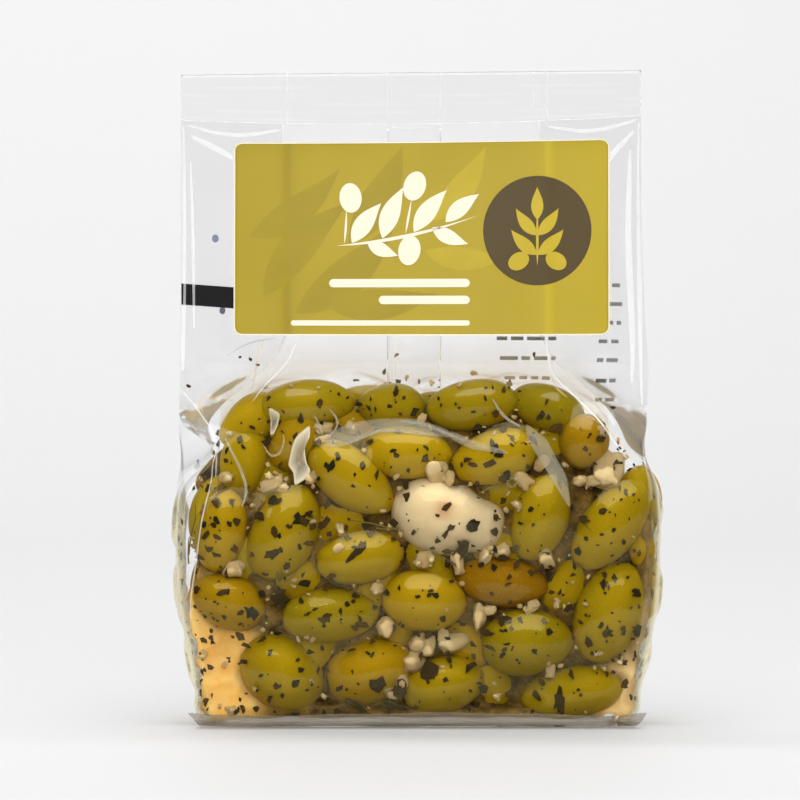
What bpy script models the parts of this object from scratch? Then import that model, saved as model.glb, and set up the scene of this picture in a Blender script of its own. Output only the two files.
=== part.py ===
"""A clear sealed bag of marinated green olives and garlic that stands on its own base.

The bag is one closed solid: a side-gusseted tube of film, drawn tight over the olives that fill its lower half,
pressed flat into a ribbed seal at the top, with the bottom seal folded forward as a low fin. The label is a thin
sheet just in front of the front panel. Sizes are in millimetres until a mesh is written, in metres. X runs along
the front panel, -Y faces the viewer, +Z is up, and the origin is the middle of the flat base.
"""

import math
import random

import bmesh
import bpy
import numpy as np

MM = 0.001

# The film tube. Each station gives, at one height: the left and right edges, how far the middle of the side
# gusset stands out of those edges (below zero it is folded inwards), and the half depth at edge and middle.
STATIONS = np.array(
    (
        # height, left, right, gusset, edge depth, middle depth
        (0.0, -53.0, 54.0, 0.5, 11.5, 13.5),
        (3.0, -56.5, 58.0, 1.0, 13.0, 17.0),
        (9.0, -57.6, 59.5, 1.2, 14.5, 19.0),
        (18.0, -58.8, 61.0, 1.5, 15.5, 20.6),
        (30.0, -61.2, 63.3, 1.5, 16.0, 21.2),
        (44.0, -62.2, 64.2, 1.5, 16.0, 20.8),
        (58.0, -62.4, 64.0, 1.2, 15.0, 19.6),
        (66.0, -62.8, 62.5, 0.0, 13.5, 18.6),
        (73.0, -62.8, 61.0, -5.0, 11.5, 17.4),
        (80.0, -61.8, 60.8, -8.0, 9.2, 16.2),
        (87.0, -61.4, 61.2, -14.5, 7.0, 14.8),
        (94.0, -61.3, 61.4, -23.0, 5.2, 13.2),
        (103.0, -61.3, 60.8, -27.5, 3.8, 11.2),
        (125.0, -61.2, 59.8, -27.0, 2.4, 7.0),
        (150.0, -61.2, 59.5, -26.5, 1.2, 2.0),
        (159.0, -61.1, 59.5, -26.5, 0.8, 1.0),
    )
)
LEFT, RIGHT, GUSSET, EDGE_DEPTH, MIDDLE_DEPTH = 1, 2, 3, 4, 5
PINCH_HEIGHT = 72.0
PINCH_DEPTH = 10.0
PINCH_REACH_DOWN = 9.0
PINCH_REACH_UP = 5.0
BODY_TOP = 66.0
HEADSPACE_BOTTOM = 82.0

# The top seal: a plain strip along the free edge, then horizontal crimped ribs.
BAG_HEIGHT = 171.0
SEAL_HEIGHT = 12.0
SEAL_THICKNESS = 0.8
PLAIN_STRIP = 2.6
RIB_COUNT = 5
RIB_DEPTH = 0.3
TOP_RISE = 0.6
SEAL_SAG = 1.6
SAG_START = 150.0

# The bottom seal, folded forward.
FIN_LENGTH = 10.5
FIN_RISE = 3.1
FIN_THICKNESS = 0.8
FIN_ROOT_HEIGHT = 0.9
FIN_FLARE = 0.15

# The contents. Each row of the front layer: x and z of the middle, length, width, the long axis's angle from
# level in degrees, and how far it sits back from the film.
FRONT_LAYER = (
    (-44.5, 69.5, 20.0, 14.0, 80.0, 3.0),
    (-31.0, 75.0, 20.0, 15.0, 60.0, 2.5),
    (-28.0, 84.0, 26.5, 14.0, 5.0, 1.5),
    (-43.0, 79.5, 20.0, 13.5, 40.0, 4.0),
    (-6.0, 83.5, 19.0, 13.5, 0.0, 3.5),
    (15.0, 84.0, 25.5, 14.5, 8.0, 1.0),
    (35.0, 83.0, 21.5, 13.5, -20.0, 2.0),
    (44.5, 74.5, 16.0, 14.5, 90.0, 0.5),
    (-16.5, 65.0, 27.5, 16.3, -38.0, 0.0),
    (-2.0, 71.5, 25.5, 15.0, -3.0, 1.0),
    (21.0, 70.5, 24.5, 15.3, 15.0, 0.0),
    (33.0, 54.5, 25.0, 15.8, 72.0, 1.0),
    (51.3, 52.6, 29.0, 16.3, 52.0, 0.0),
    (-50.3, 51.0, 23.0, 14.0, 78.0, 0.5),
    (-34.0, 50.5, 28.0, 18.5, 65.0, 0.0),
    (-14.3, 44.1, 24.5, 15.0, 8.0, 0.0),
    (-48.5, 32.7, 21.0, 15.5, -20.0, 0.5),
    (-22.0, 29.1, 27.0, 15.3, 4.0, 0.5),
    (2.3, 32.9, 23.5, 17.5, -5.0, 0.0),
    (22.7, 37.8, 25.5, 14.3, -8.0, 3.5),
    (51.0, 29.6, 29.0, 19.0, 68.0, 0.0),
    (29.3, 21.9, 25.5, 19.0, 3.0, 0.0),
    (-34.7, 13.8, 25.0, 21.0, -35.0, 0.0),
    (-11.5, 14.5, 25.0, 18.0, 18.0, 0.5),
    (7.4, 10.7, 23.0, 16.3, 15.0, 0.5),
    (41.1, 8.7, 28.5, 14.8, 8.0, 0.5),
)
GARLIC_CLOVE = (8.7, 54.6, 30.6, 21.4, -15.0, 0.0)
SIDE_LAYER_HEIGHTS = (17.0, 38.0, 57.0)
SIDE_LENGTH = 22.0
SIDE_WIDTH = 14.0
BACK_JITTER = 1.6
BACK_TURN = 25.0
HEAP_SEED = 11

# How the film lies on the contents: its pull inwards, the deepest dip, and the heights it works between.
PULL = 0.085
DEEPEST_DIP = 4.5
SIDE_DIP = 1.0
CORNER_BLUR = 2
RELAX_STEPS = 500
DRAPE_BOTTOM = 2.0
DRAPE_TOP = 96.0

# The grid of the closed solid.
FRONT_CELLS = 38
SIDE_CELLS = 8
BODY_ROW_STEP = 2.3
HEADSPACE_ROW_STEP = 7.0
CORNER_PASSES = 3

# The label.
LABEL_WIDTH = 98.5
LABEL_HEIGHT = 51.0
LABEL_CENTRE_X = 2.0
LABEL_BOTTOM = 102.2
LABEL_CORNER = 2.2
LABEL_THICKNESS = 0.25
LABEL_GAP = 0.3
LABEL_CELLS_X = 24
LABEL_CELLS_Z = 8


def clear_scene():
    """Empties the file Blender starts with."""
    for obj in list(bpy.data.objects):
        bpy.data.objects.remove(obj, do_unlink=True)


def station(column, z):
    """One column of the stations at any height, as a smooth curve through them."""
    knots = STATIONS[:, 0]
    values = STATIONS[:, column]
    slopes = np.gradient(values, knots)
    z = np.clip(z, knots[0], knots[-1])
    low = np.clip(np.searchsorted(knots, z, side="right") - 1, 0, len(knots) - 2)
    step = knots[low + 1] - knots[low]
    t = (z - knots[low]) / step
    start = (1 + 2 * t) * (1 - t) ** 2 * values[low] + t * (1 - t) ** 2 * step * slopes[low]
    end = t * t * (3 - 2 * t) * values[low + 1] + t * t * (t - 1) * step * slopes[low + 1]
    return start + end


def ramp(z, low, high):
    """0 below low, 1 above high, eased between."""
    t = np.clip((z - low) / (high - low), 0.0, 1.0)
    return t * t * (3 - 2 * t)


def pinch(z):
    """How far the front panel's left edge is drawn in where the headspace folds against the olives."""
    reach = np.where(z < PINCH_HEIGHT, PINCH_REACH_DOWN, PINCH_REACH_UP)
    return PINCH_DEPTH * np.exp(-(((z - PINCH_HEIGHT) / reach) ** 2))


def panel_depth(s, z):
    """Half depth of a panel at s, from -1 at its left edge to 1 at its right edge."""
    edge = station(EDGE_DEPTH, z)
    middle = station(MIDDLE_DEPTH, z)
    power = 3.4 - 1.2 * ramp(z, BODY_TOP, HEADSPACE_BOTTOM + 18)
    return edge + (middle - edge) * (1 - np.abs(s) ** power)


def front_y(x, z):
    """The front panel's y at any x and height, before the film is drawn in."""
    left = station(LEFT, z) + pinch(z)
    right = station(RIGHT, z)
    s = np.clip((2 * x - left - right) / (right - left), -1.0, 1.0)
    return -panel_depth(s, z)


def tube(z):
    """The film's x and y round the bag for each height in z, anticlockwise from the front left edge.

    Round the contents the corners between the panels are blunted, as the film is blown out there.
    """
    z = np.asarray(z, float)[:, None]
    front_left = station(LEFT, z) + pinch(z)
    back_left = station(LEFT, z)
    right = station(RIGHT, z)
    edge = station(EDGE_DEPTH, z)
    gusset = station(GUSSET, z)
    across = np.linspace(-1.0, 1.0, FRONT_CELLS + 1)[None, :]
    along = np.linspace(0.0, 1.0, SIDE_CELLS + 1)[None, 1:-1]
    curve = 1.0 + 1.5 * (1 - ramp(z, BODY_TOP - 6, HEADSPACE_BOTTOM - 4))
    stand_out = gusset * (1 - np.abs(2 * along - 1) ** curve)
    front_x = (front_left + right) / 2 + across * (right - front_left) / 2
    back_x = (back_left + right) / 2 - across * (right - back_left) / 2
    right_x = right + stand_out
    left_x = back_left + (front_left - back_left) * along - stand_out
    side_y = edge * (2 * along - 1)
    x = np.hstack((front_x, right_x, back_x, left_x))
    y = np.hstack((-panel_depth(across, z), side_y, panel_depth(-across, z), -side_y))
    filled = 1 - ramp(z, BODY_TOP - 14, HEADSPACE_BOTTOM - 2)
    for _ in range(CORNER_PASSES):
        x = x + filled * (np.roll(x, 1, 1) + np.roll(x, -1, 1) - 2 * x) / 4
        y = y + filled * (np.roll(y, 1, 1) + np.roll(y, -1, 1) - 2 * y) / 4
    return x, y


def turned(angle, tilt):
    """Axes of a body whose long axis rises by angle in the front plane and leans back by tilt, in degrees."""
    a = math.radians(angle)
    b = math.radians(tilt)
    long_axis = np.array((math.cos(a) * math.cos(b), math.sin(b), math.sin(a) * math.cos(b)))
    side = np.cross(long_axis, (0.0, 1.0, 0.0))
    side /= np.linalg.norm(side)
    return np.stack((long_axis, np.cross(side, long_axis), side))


def bodies():
    """The olives and the clove that touch the film, each as its middle, its three half sizes and its axes."""
    rng = random.Random(HEAP_SEED)
    found = []
    for x, z, length, width, angle, inset in FRONT_LAYER + (GARLIC_CLOVE,):
        y = float(front_y(x, z)) + width / 2 + inset
        found.append((np.array((x, y, z)), np.array((length, width, width)) / 2, turned(angle, 0.0)))
    for x, z, length, width, angle, inset in FRONT_LAYER:
        x = -x + rng.uniform(-BACK_JITTER, BACK_JITTER)
        z = z + rng.uniform(-BACK_JITTER, BACK_JITTER) / 2
        angle = -angle + rng.uniform(-BACK_TURN, BACK_TURN)
        y = -float(front_y(x, z)) - width / 2 - inset / 2
        found.append((np.array((x, y, z)), np.array((length, width, width)) / 2, turned(angle, 0.0)))
    for z in SIDE_LAYER_HEIGHTS:
        for column, sign in ((LEFT, -1), (RIGHT, 1)):
            x = float(station(column, z)) - sign * (SIDE_WIDTH / 2 - 1.5)
            middle = np.array((x, rng.uniform(-3, 3), z + rng.uniform(-2, 2)))
            sizes = np.array((SIDE_LENGTH, SIDE_WIDTH, SIDE_WIDTH)) / 2
            found.append((middle, sizes, turned(90 + rng.uniform(-20, 20), rng.uniform(-20, 20))))
    return found


def reach(points, normals):
    """How far each film point can move inwards before it meets a body, up to the deepest dip."""
    nearest = np.full(points.shape[:2], DEEPEST_DIP)
    for middle, sizes, axes in bodies():
        start = (points - middle) @ axes.T / sizes
        ray = -normals @ axes.T / sizes
        a = (ray * ray).sum(-1)
        b = (start * ray).sum(-1)
        c = (start * start).sum(-1) - 1
        inside = b * b - a * c
        hit = (-b - np.sqrt(np.maximum(inside, 0))) / a
        hit = np.where((inside > 0) & (-b > 0), np.maximum(hit, 0), DEEPEST_DIP)
        nearest = np.minimum(nearest, hit)
    return nearest


def drape(points):
    """The film grid, drawn inwards over the bodies as a stretched skin under an even pull."""
    round_step = np.roll(points, -1, 1) - np.roll(points, 1, 1)
    up_step = np.gradient(points, axis=0)
    normals = np.cross(round_step, up_step)
    normals /= np.maximum(np.linalg.norm(normals, axis=-1, keepdims=True), 1e-9)
    blur = range(-CORNER_BLUR, CORNER_BLUR + 1)
    normals = sum(np.roll(normals, k, 1) * (CORNER_BLUR + 1 - abs(k)) for k in blur)
    normals /= np.maximum(np.linalg.norm(normals, axis=-1, keepdims=True), 1e-9)
    z = points[..., 2]
    free = ramp(z, DRAPE_BOTTOM, DRAPE_BOTTOM + 4) * (1 - ramp(z, DRAPE_TOP - 8, DRAPE_TOP))
    folded = np.abs(normals[..., 0]) > 0.5
    free = free * np.where(folded, 1 - ramp(z, BODY_TOP - 12, BODY_TOP), 1.0)
    side = np.clip((np.abs(normals[..., 0]) - 0.3) / 0.4, 0.0, 1.0)
    limit = np.minimum(reach(points, normals), DEEPEST_DIP * (1 - side) + SIDE_DIP * side) * free
    cell = 0.5 * np.linalg.norm(round_step, axis=-1)
    weight_round = 1 / np.maximum(cell, 0.5) ** 2
    weight_up = 1 / np.maximum(np.linalg.norm(up_step, axis=-1), 0.5) ** 2
    dip = np.zeros(z.shape)
    for _ in range(RELAX_STEPS):
        above = np.vstack((dip[1:], dip[-1:]))
        below = np.vstack((dip[:1], dip[:-1]))
        beside = np.roll(dip, 1, 1) + np.roll(dip, -1, 1)
        even = weight_round * beside + weight_up * (above + below) + PULL
        dip = np.minimum(even / (2 * (weight_round + weight_up)), limit)
    return points - normals * dip[..., None]


def body_heights():
    """Heights of the film's rows from just above the fin to just below the top seal."""
    body = np.arange(2.4, DRAPE_TOP, BODY_ROW_STEP)
    headspace = np.arange(DRAPE_TOP - 0.5, STATIONS[-1, 0] - 2, HEADSPACE_ROW_STEP)
    return np.concatenate((body, headspace, STATIONS[-1:, 0]))


def seal_rows(x):
    """Rows of the flat top seal over the ring of x: the crimped ribs and the plain strip."""
    spread = np.linspace(-1.0, 1.0, SIDE_CELLS + 1)[1:-1]
    panel = np.ones(FRONT_CELLS + 1)
    half = np.concatenate((-panel, spread, panel, -spread)) * SEAL_THICKNESS / 2
    flat_x = np.clip(x, STATIONS[-1, LEFT], STATIONS[-1, RIGHT])
    sides = np.abs(half) < SEAL_THICKNESS / 2
    flat_x[sides] = np.where(x[sides] > 0, STATIONS[-1, RIGHT], STATIONS[-1, LEFT])
    low = BAG_HEIGHT - SEAL_HEIGHT + 0.6
    high = BAG_HEIGHT - PLAIN_STRIP
    rows = []
    for k, height in enumerate(np.linspace(low, high, 2 * RIB_COUNT)):
        rows.append((height, half + (RIB_DEPTH if k % 2 else -RIB_DEPTH)))
    rows.append((BAG_HEIGHT, half))
    return [np.stack((flat_x, y, np.full(x.size, z)), -1) for z, y in rows]


def fin_rows():
    """The base ring and the three rows above it that push the front of the ring out into the bottom seal."""
    x, y = tube((0.0,))
    count = x.shape[1]
    front = (np.arange(count) > 0) & (np.arange(count) < FRONT_CELLS)
    rows = []
    levels = ((0.0, 0.0, 0.0), (0.3, 1.0, 0.0), (0.6, 1.0, FIN_THICKNESS), (FIN_ROOT_HEIGHT, 0.0, 0.0))
    for height, out, lift in levels:
        row = np.stack((x[0], y[0], np.full(count, height)), -1)
        row[front, 0] *= 1 + FIN_FLARE * out
        row[front, 1] -= FIN_LENGTH * out
        if out:
            row[front, 2] = FIN_RISE + lift
        rows.append(row)
    return rows


def level_top(points):
    """The top edge's slight rise to the right and the seal's sag in the middle, fading out down the headspace."""
    middle = (STATIONS[-1, LEFT] + STATIONS[-1, RIGHT]) / 2
    s = (points[..., 0] - middle) / (STATIONS[-1, RIGHT] - middle)
    z = points[..., 2]
    rise = TOP_RISE * s * ramp(z, DRAPE_TOP, BAG_HEIGHT - SEAL_HEIGHT)
    sag_in = ramp(z, SAG_START, BAG_HEIGHT - SEAL_HEIGHT)
    sag_out = 1 - ramp(z, BAG_HEIGHT - SEAL_HEIGHT, BAG_HEIGHT)
    points[..., 2] += rise - SEAL_SAG * (1 - s * s) * sag_in * sag_out
    return points


def film_grid():
    """The whole film as a grid of points: rows from the base ring up, columns round the bag."""
    heights = body_heights()
    x, y = tube(heights)
    body = drape(np.stack((x, y, np.broadcast_to(heights[:, None], x.shape)), -1))
    rows = fin_rows() + list(body) + seal_rows(body[-1, :, 0])
    return level_top(np.stack(rows))


def closed_mesh(name, grid):
    """A closed solid from a grid whose columns run round it: a flat base, and a top edge closed front to back."""
    mesh = bpy.data.meshes.new(name)
    bm = bmesh.new()
    rings = [[bm.verts.new(point * MM) for point in row] for row in grid]
    count = len(rings[0])
    for low, high in zip(rings, rings[1:]):
        for i in range(count):
            j = (i + 1) % count
            bm.faces.new((low[i], low[j], high[j], high[i]))
    bm.faces.new(rings[0][::-1])
    top = rings[-1]
    last_back = 2 * FRONT_CELLS + SIDE_CELLS
    for k in range(FRONT_CELLS):
        bm.faces.new((top[k], top[k + 1], top[last_back - k - 1], top[last_back - k]))
    bm.faces.new(top[FRONT_CELLS : FRONT_CELLS + SIDE_CELLS + 1])
    bm.faces.new(top[last_back:] + top[:1])
    bmesh.ops.triangulate(bm, faces=bm.faces)
    bmesh.ops.recalc_face_normals(bm, faces=bm.faces)
    bm.to_mesh(mesh)
    bm.free()
    return mesh


def label_mesh():
    """A thin sheet that follows the front panel, with rounded corners."""
    mesh = bpy.data.meshes.new("label")
    bm = bmesh.new()
    inner = np.linspace(LABEL_CORNER, LABEL_HEIGHT - LABEL_CORNER, LABEL_CELLS_Z + 1)
    corner = LABEL_CORNER * (1 - np.cos(np.radians((0, 35, 65))))
    levels = np.concatenate((corner, inner, LABEL_HEIGHT - corner[::-1]))
    sheets = []
    for offset in (LABEL_GAP, LABEL_GAP + LABEL_THICKNESS):
        sheet = []
        for level in levels:
            rim = max(LABEL_CORNER - min(level, LABEL_HEIGHT - level), 0.0)
            half = LABEL_WIDTH / 2 - LABEL_CORNER + math.sqrt(LABEL_CORNER**2 - rim**2)
            x = LABEL_CENTRE_X + half * np.linspace(-1, 1, LABEL_CELLS_X + 1)
            z = np.full(x.size, LABEL_BOTTOM + level)
            points = level_top(np.stack((x, front_y(x, z) - offset, z), -1))
            sheet.append([bm.verts.new(point * MM) for point in points])
        sheets.append(sheet)
    back, front = sheets
    for k in range(len(levels) - 1):
        for i in range(LABEL_CELLS_X):
            bm.faces.new((front[k][i], front[k][i + 1], front[k + 1][i + 1], front[k + 1][i]))
            bm.faces.new((back[k][i + 1], back[k][i], back[k + 1][i], back[k + 1][i + 1]))
    rim_front = front[0] + [row[-1] for row in front[1:]] + front[-1][-2::-1] + [row[0] for row in front[-2:0:-1]]
    rim_back = back[0] + [row[-1] for row in back[1:]] + back[-1][-2::-1] + [row[0] for row in back[-2:0:-1]]
    for i in range(len(rim_front)):
        j = (i + 1) % len(rim_front)
        bm.faces.new((rim_front[i], rim_back[i], rim_back[j], rim_front[j]))
    bmesh.ops.triangulate(bm, faces=bm.faces)
    bmesh.ops.recalc_face_normals(bm, faces=bm.faces)
    bm.to_mesh(mesh)
    bm.free()
    return mesh


def add_node(name, mesh, colour, roughness, transmission=0.0):
    """Puts a mesh in the scene under its node name, with its own plain material."""
    obj = bpy.data.objects.new(name, mesh)
    bpy.context.collection.objects.link(obj)
    material = bpy.data.materials.new(name)
    material.use_nodes = True
    shader = material.node_tree.nodes["Principled BSDF"]
    shader.inputs["Base Color"].default_value = (*colour, 1.0)
    shader.inputs["Roughness"].default_value = roughness
    shader.inputs["Transmission Weight"].default_value = transmission
    mesh.materials.append(material)
    return obj


def main():
    clear_scene()
    add_node("bag", closed_mesh("bag", film_grid()), (0.42, 0.40, 0.08), 0.2)
    add_node("label", label_mesh(), (0.55, 0.47, 0.05), 0.4)


main()
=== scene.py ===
"""The looks of a clear sealed bag of marinated green olives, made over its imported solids.

The script is laid out as a Blender add-on: its settings hold the sizes and colours a user would change,
and one operator makes each piece. Shapes are worked out in millimetres in the frame's own axes and written
in metres. X runs along the front panel, -Y faces the viewer and +Z is up.
"""

import math
import random
from functools import lru_cache

import bmesh
import bpy
import numpy as np
from bpy.props import FloatProperty, FloatVectorProperty, IntProperty, PointerProperty
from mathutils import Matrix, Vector, noise


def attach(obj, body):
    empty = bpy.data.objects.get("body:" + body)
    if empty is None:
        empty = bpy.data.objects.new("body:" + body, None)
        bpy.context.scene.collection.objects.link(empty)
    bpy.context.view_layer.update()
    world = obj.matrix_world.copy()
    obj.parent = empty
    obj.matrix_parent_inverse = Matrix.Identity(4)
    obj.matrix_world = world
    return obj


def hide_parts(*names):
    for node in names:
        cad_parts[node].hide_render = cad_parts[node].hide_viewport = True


bl_info = {
    "name": "Bag of marinated olives",
    "version": (1, 0, 0),
    "blender": (4, 5, 0),
    "location": "View3D > Sidebar > Olive bag",
    "description": "Makes a clear sealed bag of green olives with garlic, herbs and a printed label",
    "category": "Object",
}

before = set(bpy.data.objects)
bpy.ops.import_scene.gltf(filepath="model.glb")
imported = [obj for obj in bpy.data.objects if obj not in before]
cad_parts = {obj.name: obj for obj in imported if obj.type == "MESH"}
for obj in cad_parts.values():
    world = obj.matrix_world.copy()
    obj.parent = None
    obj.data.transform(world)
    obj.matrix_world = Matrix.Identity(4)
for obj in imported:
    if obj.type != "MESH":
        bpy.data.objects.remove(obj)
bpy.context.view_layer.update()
MM = 0.001

# The film tube, as in the part's source: at each height, the left and right edges, how far the middle of the
# side gusset stands out of those edges, and the half depth at edge and middle.
STATIONS = np.array(
    (
        (0.0, -53.0, 54.0, 0.5, 11.5, 13.5),
        (3.0, -56.5, 58.0, 1.0, 13.0, 17.0),
        (9.0, -57.6, 59.5, 1.2, 14.5, 19.0),
        (18.0, -58.8, 61.0, 1.5, 15.5, 20.6),
        (30.0, -61.2, 63.3, 1.5, 16.0, 21.2),
        (44.0, -62.2, 64.2, 1.5, 16.0, 20.8),
        (58.0, -62.4, 64.0, 1.2, 15.0, 19.6),
        (66.0, -62.8, 62.5, 0.0, 13.5, 18.6),
        (73.0, -62.8, 61.0, -5.0, 11.5, 17.4),
        (80.0, -61.8, 60.8, -8.0, 9.2, 16.2),
        (87.0, -61.4, 61.2, -14.5, 7.0, 14.8),
        (94.0, -61.3, 61.4, -23.0, 5.2, 13.2),
        (103.0, -61.3, 60.8, -27.5, 3.8, 11.2),
        (125.0, -61.2, 59.8, -27.0, 2.4, 7.0),
        (150.0, -61.2, 59.5, -26.5, 1.2, 2.0),
        (159.0, -61.1, 59.5, -26.5, 0.8, 1.0),
    )
)
LEFT, RIGHT, GUSSET, EDGE_DEPTH, MIDDLE_DEPTH = 1, 2, 3, 4, 5
PINCH_HEIGHT, PINCH_DEPTH, PINCH_REACH_DOWN, PINCH_REACH_UP = 72.0, 10.0, 9.0, 5.0
BODY_TOP, HEADSPACE_BOTTOM = 66.0, 82.0
BAG_HEIGHT, SEAL_HEIGHT, PLAIN_STRIP, RIB_COUNT, RIB_DEPTH = 171.0, 12.0, 2.6, 5, 0.3
TOP_RISE, SEAL_SAG, SAG_START = 0.6, 1.6, 150.0
FIN_LENGTH, FIN_RISE, FIN_ROOT = 10.5, 3.5, 0.9

# The front layer: x, z, length, width, angle of the long axis from level, distance behind the film, and tone,
# from 0 for leaf green through yellow to 1 for amber.
FRONT_LAYER = (
    (-44.5, 69.5, 20.0, 14.0, 80.0, 3.0, 0.45),
    (-31.0, 75.0, 20.0, 15.0, 60.0, 2.5, 0.75),
    (-28.0, 84.0, 26.5, 14.0, 5.0, 1.5, 0.3),
    (-43.0, 79.5, 20.0, 13.5, 40.0, 4.0, 0.6),
    (-6.0, 83.5, 19.0, 13.5, 0.0, 3.5, 0.2),
    (15.0, 84.0, 25.5, 14.5, 8.0, 1.0, 0.2),
    (35.0, 83.0, 21.5, 13.5, -20.0, 2.0, 0.05),
    (44.5, 74.5, 16.0, 14.5, 262.0, 0.5, 0.85),
    (-16.5, 65.0, 27.5, 16.3, -38.0, 0.0, 0.5),
    (-2.0, 71.5, 25.5, 15.0, -3.0, 1.0, 0.6),
    (21.0, 70.5, 24.5, 15.3, 15.0, 0.0, 0.55),
    (33.0, 54.5, 25.0, 15.8, 72.0, 1.0, 0.35),
    (51.3, 52.6, 29.0, 16.3, 52.0, 0.0, 0.35),
    (-50.3, 51.0, 23.0, 14.0, 78.0, 0.5, 0.7),
    (-34.0, 50.5, 28.0, 18.5, 65.0, 0.0, 0.35),
    (-14.3, 44.1, 24.5, 15.0, 8.0, 0.0, 0.4),
    (-48.5, 32.7, 21.0, 15.5, -20.0, 0.5, 0.8),
    (-22.0, 29.1, 27.0, 15.3, 4.0, 0.5, 0.15),
    (2.3, 32.9, 23.5, 17.5, -5.0, 0.0, 0.65),
    (22.7, 37.8, 25.5, 14.3, -8.0, 3.5, 1.0),
    (51.0, 29.6, 29.0, 19.0, 68.0, 0.0, 0.3),
    (29.3, 21.9, 25.5, 19.0, 3.0, 0.0, 0.1),
    (-34.7, 13.8, 25.0, 21.0, -35.0, 0.0, 0.35),
    (-11.5, 14.5, 25.0, 18.0, 18.0, 0.5, 0.75),
    (7.4, 10.7, 23.0, 16.3, 15.0, 0.5, 0.3),
    (41.1, 8.7, 28.5, 14.8, 8.0, 0.5, 0.3),
)
GARLIC_CLOVE = (8.7, 54.6, 30.6, 21.4, -15.0, 0.0)
SIDE_LAYER_HEIGHTS, SIDE_LENGTH, SIDE_WIDTH = (17.0, 38.0, 57.0), 22.0, 14.0
BACK_JITTER, BACK_TURN, HEAP_SEED = 1.6, 25.0, 11
GAP_OLIVES, MIDDLE_LAYER_SEED = 15, 5
PULL, DEEPEST_DIP, RELAX_STEPS = 0.085, 4.5, 700
DRAPE_BOTTOM, DRAPE_TOP = 2.0, 96.0
OLIVE_SKIN_GAP = 0.4
# How far olives stand back from the empty flap at the left and the oil in the corners, and from the base.
SIDE_TUCK = 4.5
OLIVE_FOOT = 1.0

# The camera's sensor in millimetres, and in metres the width it sees at the bag and the point it aims at.
SENSOR_WIDTH, VIEW_WIDTH, VIEW_TARGET = 36.0, 0.21, (-0.0037, 0.0, 0.085)

# The film's grid.
FRONT_CELLS, SIDE_CELLS = 110, 26
CORNER_BLUR = 5
CORNER_PASSES = 26
SIDE_DIP = 1.0
BODY_ROW_STEP, HEADSPACE_ROW_STEP = 1.15, 1.8

# The label on the front panel.
LABEL_WIDTH, LABEL_HEIGHT, LABEL_CENTRE_X, LABEL_BOTTOM, LABEL_CORNER = 98.5, 51.0, 2.0, 102.2, 2.2
LABEL_LIFT, LABEL_THICKNESS, PRINT_LIFT = 0.05, 0.2, 0.03

# Grey lines on the back film, made of plain bars: foot, start and end in x, and height.
BACK_LINES = tuple((114.4 - 4.9 * k, 48.6 - 0.4 * (k > 3), 55.0 - 0.3 * k, 1.0) for k in range(7))
BACK_LINES += ((100.4, 21.8, 38.3, 1.0), (95.2, 22.6, 37.3, 1.0), (90.4, 24.0, 36.0, 0.9))

# Garlic pieces seen in the gaps of the front: x, z and size.
GARLIC_SPOTS = (
    (-8.0, 26.9, 4.6),
    (3.6, 22.2, 6.0),
    (9.0, 22.2, 6.0),
    (15.8, 28.7, 5.0),
    (-1.0, 15.8, 5.6),
    (-4.1, 12.4, 4.6),
    (-6.7, 9.8, 3.4),
    (28.7, 65.6, 4.4),
    (42.6, 64.1, 3.2),
    (2.8, 82.9, 3.2),
    (5.4, 66.4, 6.0),
    (19.0, 43.5, 4.6),
    (12.5, 44.4, 4.2),
    (23.6, 44.8, 4.0),
    (30.2, 30.5, 4.0),
    (-0.5, 20.5, 4.4),
    (6.3, 24.2, 4.0),
    (-18.5, 45.5, 3.4),
    (-48.8, 42.9, 4.8),
    (33.9, 45.5, 5.2),
    (-37.2, 63.6, 5.0),
    (-34.0, 62.0, 3.6),
    (4.1, 42.9, 4.4),
    (50.6, 68.2, 8.5),
    (47.6, 66.0, 4.0),
)

# Larger torn leaves on the front: x, z, length and width.
LARGE_LEAVES = (
    (-21.7, 68.7, 5.2, 2.4),
    (-14.5, 46.8, 9.6, 3.2),
    (-42.9, 30.0, 5.2, 4.6),
    (-35.1, 33.9, 5.8, 5.4),
    (11.9, 46.0, 9.0, 3.6),
    (4.1, 14.5, 6.6, 6.0),
    (-29.5, 54.5, 5.6, 4.4),
    (-37.2, 45.5, 5.0, 3.2),
    (37.7, 6.7, 7.6, 4.0),
    (-9.3, 10.6, 7.4, 6.0),
    (-3.6, 9.3, 6.0, 4.6),
    (59.0, 35.1, 4.2, 3.6),
    (60.0, 24.8, 3.8, 4.4),
    (50.6, 24.8, 4.0, 3.0),
    (15.7, 53.2, 4.6, 4.2),
    (-15.0, 5.0, 9.0, 2.6),
    (-5.0, 5.2, 8.0, 2.4),
)

# Flakes stuck to the film above the contents: x, z and length.
HEADSPACE_FLAKES = (
    (-59.2, 88.9, 2.4),
    (-42.9, 95.9, 1.9),
    (-41.0, 94.6, 1.6),
    (-45.5, 96.6, 1.4),
    (-4.6, 97.2, 2.0),
    (-8.0, 93.0, 2.2),
    (31.3, 97.2, 1.8),
    (52.5, 84.0, 2.2),
    (50.1, 79.6, 2.0),
    (49.6, 76.0, 2.0),
)

# Herb stems on the front: x and z of one end, length, angle and bend. Then a hollow stem: x, z and radius.
STEMS = (
    (-36.5, 37.0, 10.0, 62.0, 0.7),
    (-35.0, 37.5, 8.0, 30.0, 0.5),
    (-36.0, 36.5, 7.0, 100.0, -0.6),
    (-18.4, 54.8, 16.0, -6.0, -0.2),
    (-16.0, 53.6, 12.0, -12.0, 0.2),
    (-61.0, 44.0, 13.0, 84.0, -0.35),
    (-60.4, 50.0, 9.0, 60.0, 0.6),
    (-60.8, 42.0, 8.0, 100.0, -0.4),
    (16.5, 61.5, 8.0, 20.0, 0.3),
    (43.0, 57.0, 7.0, -70.0, 0.4),
)
HOLLOW_STEM = (25.7, 64.4, 1.25)

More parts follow.
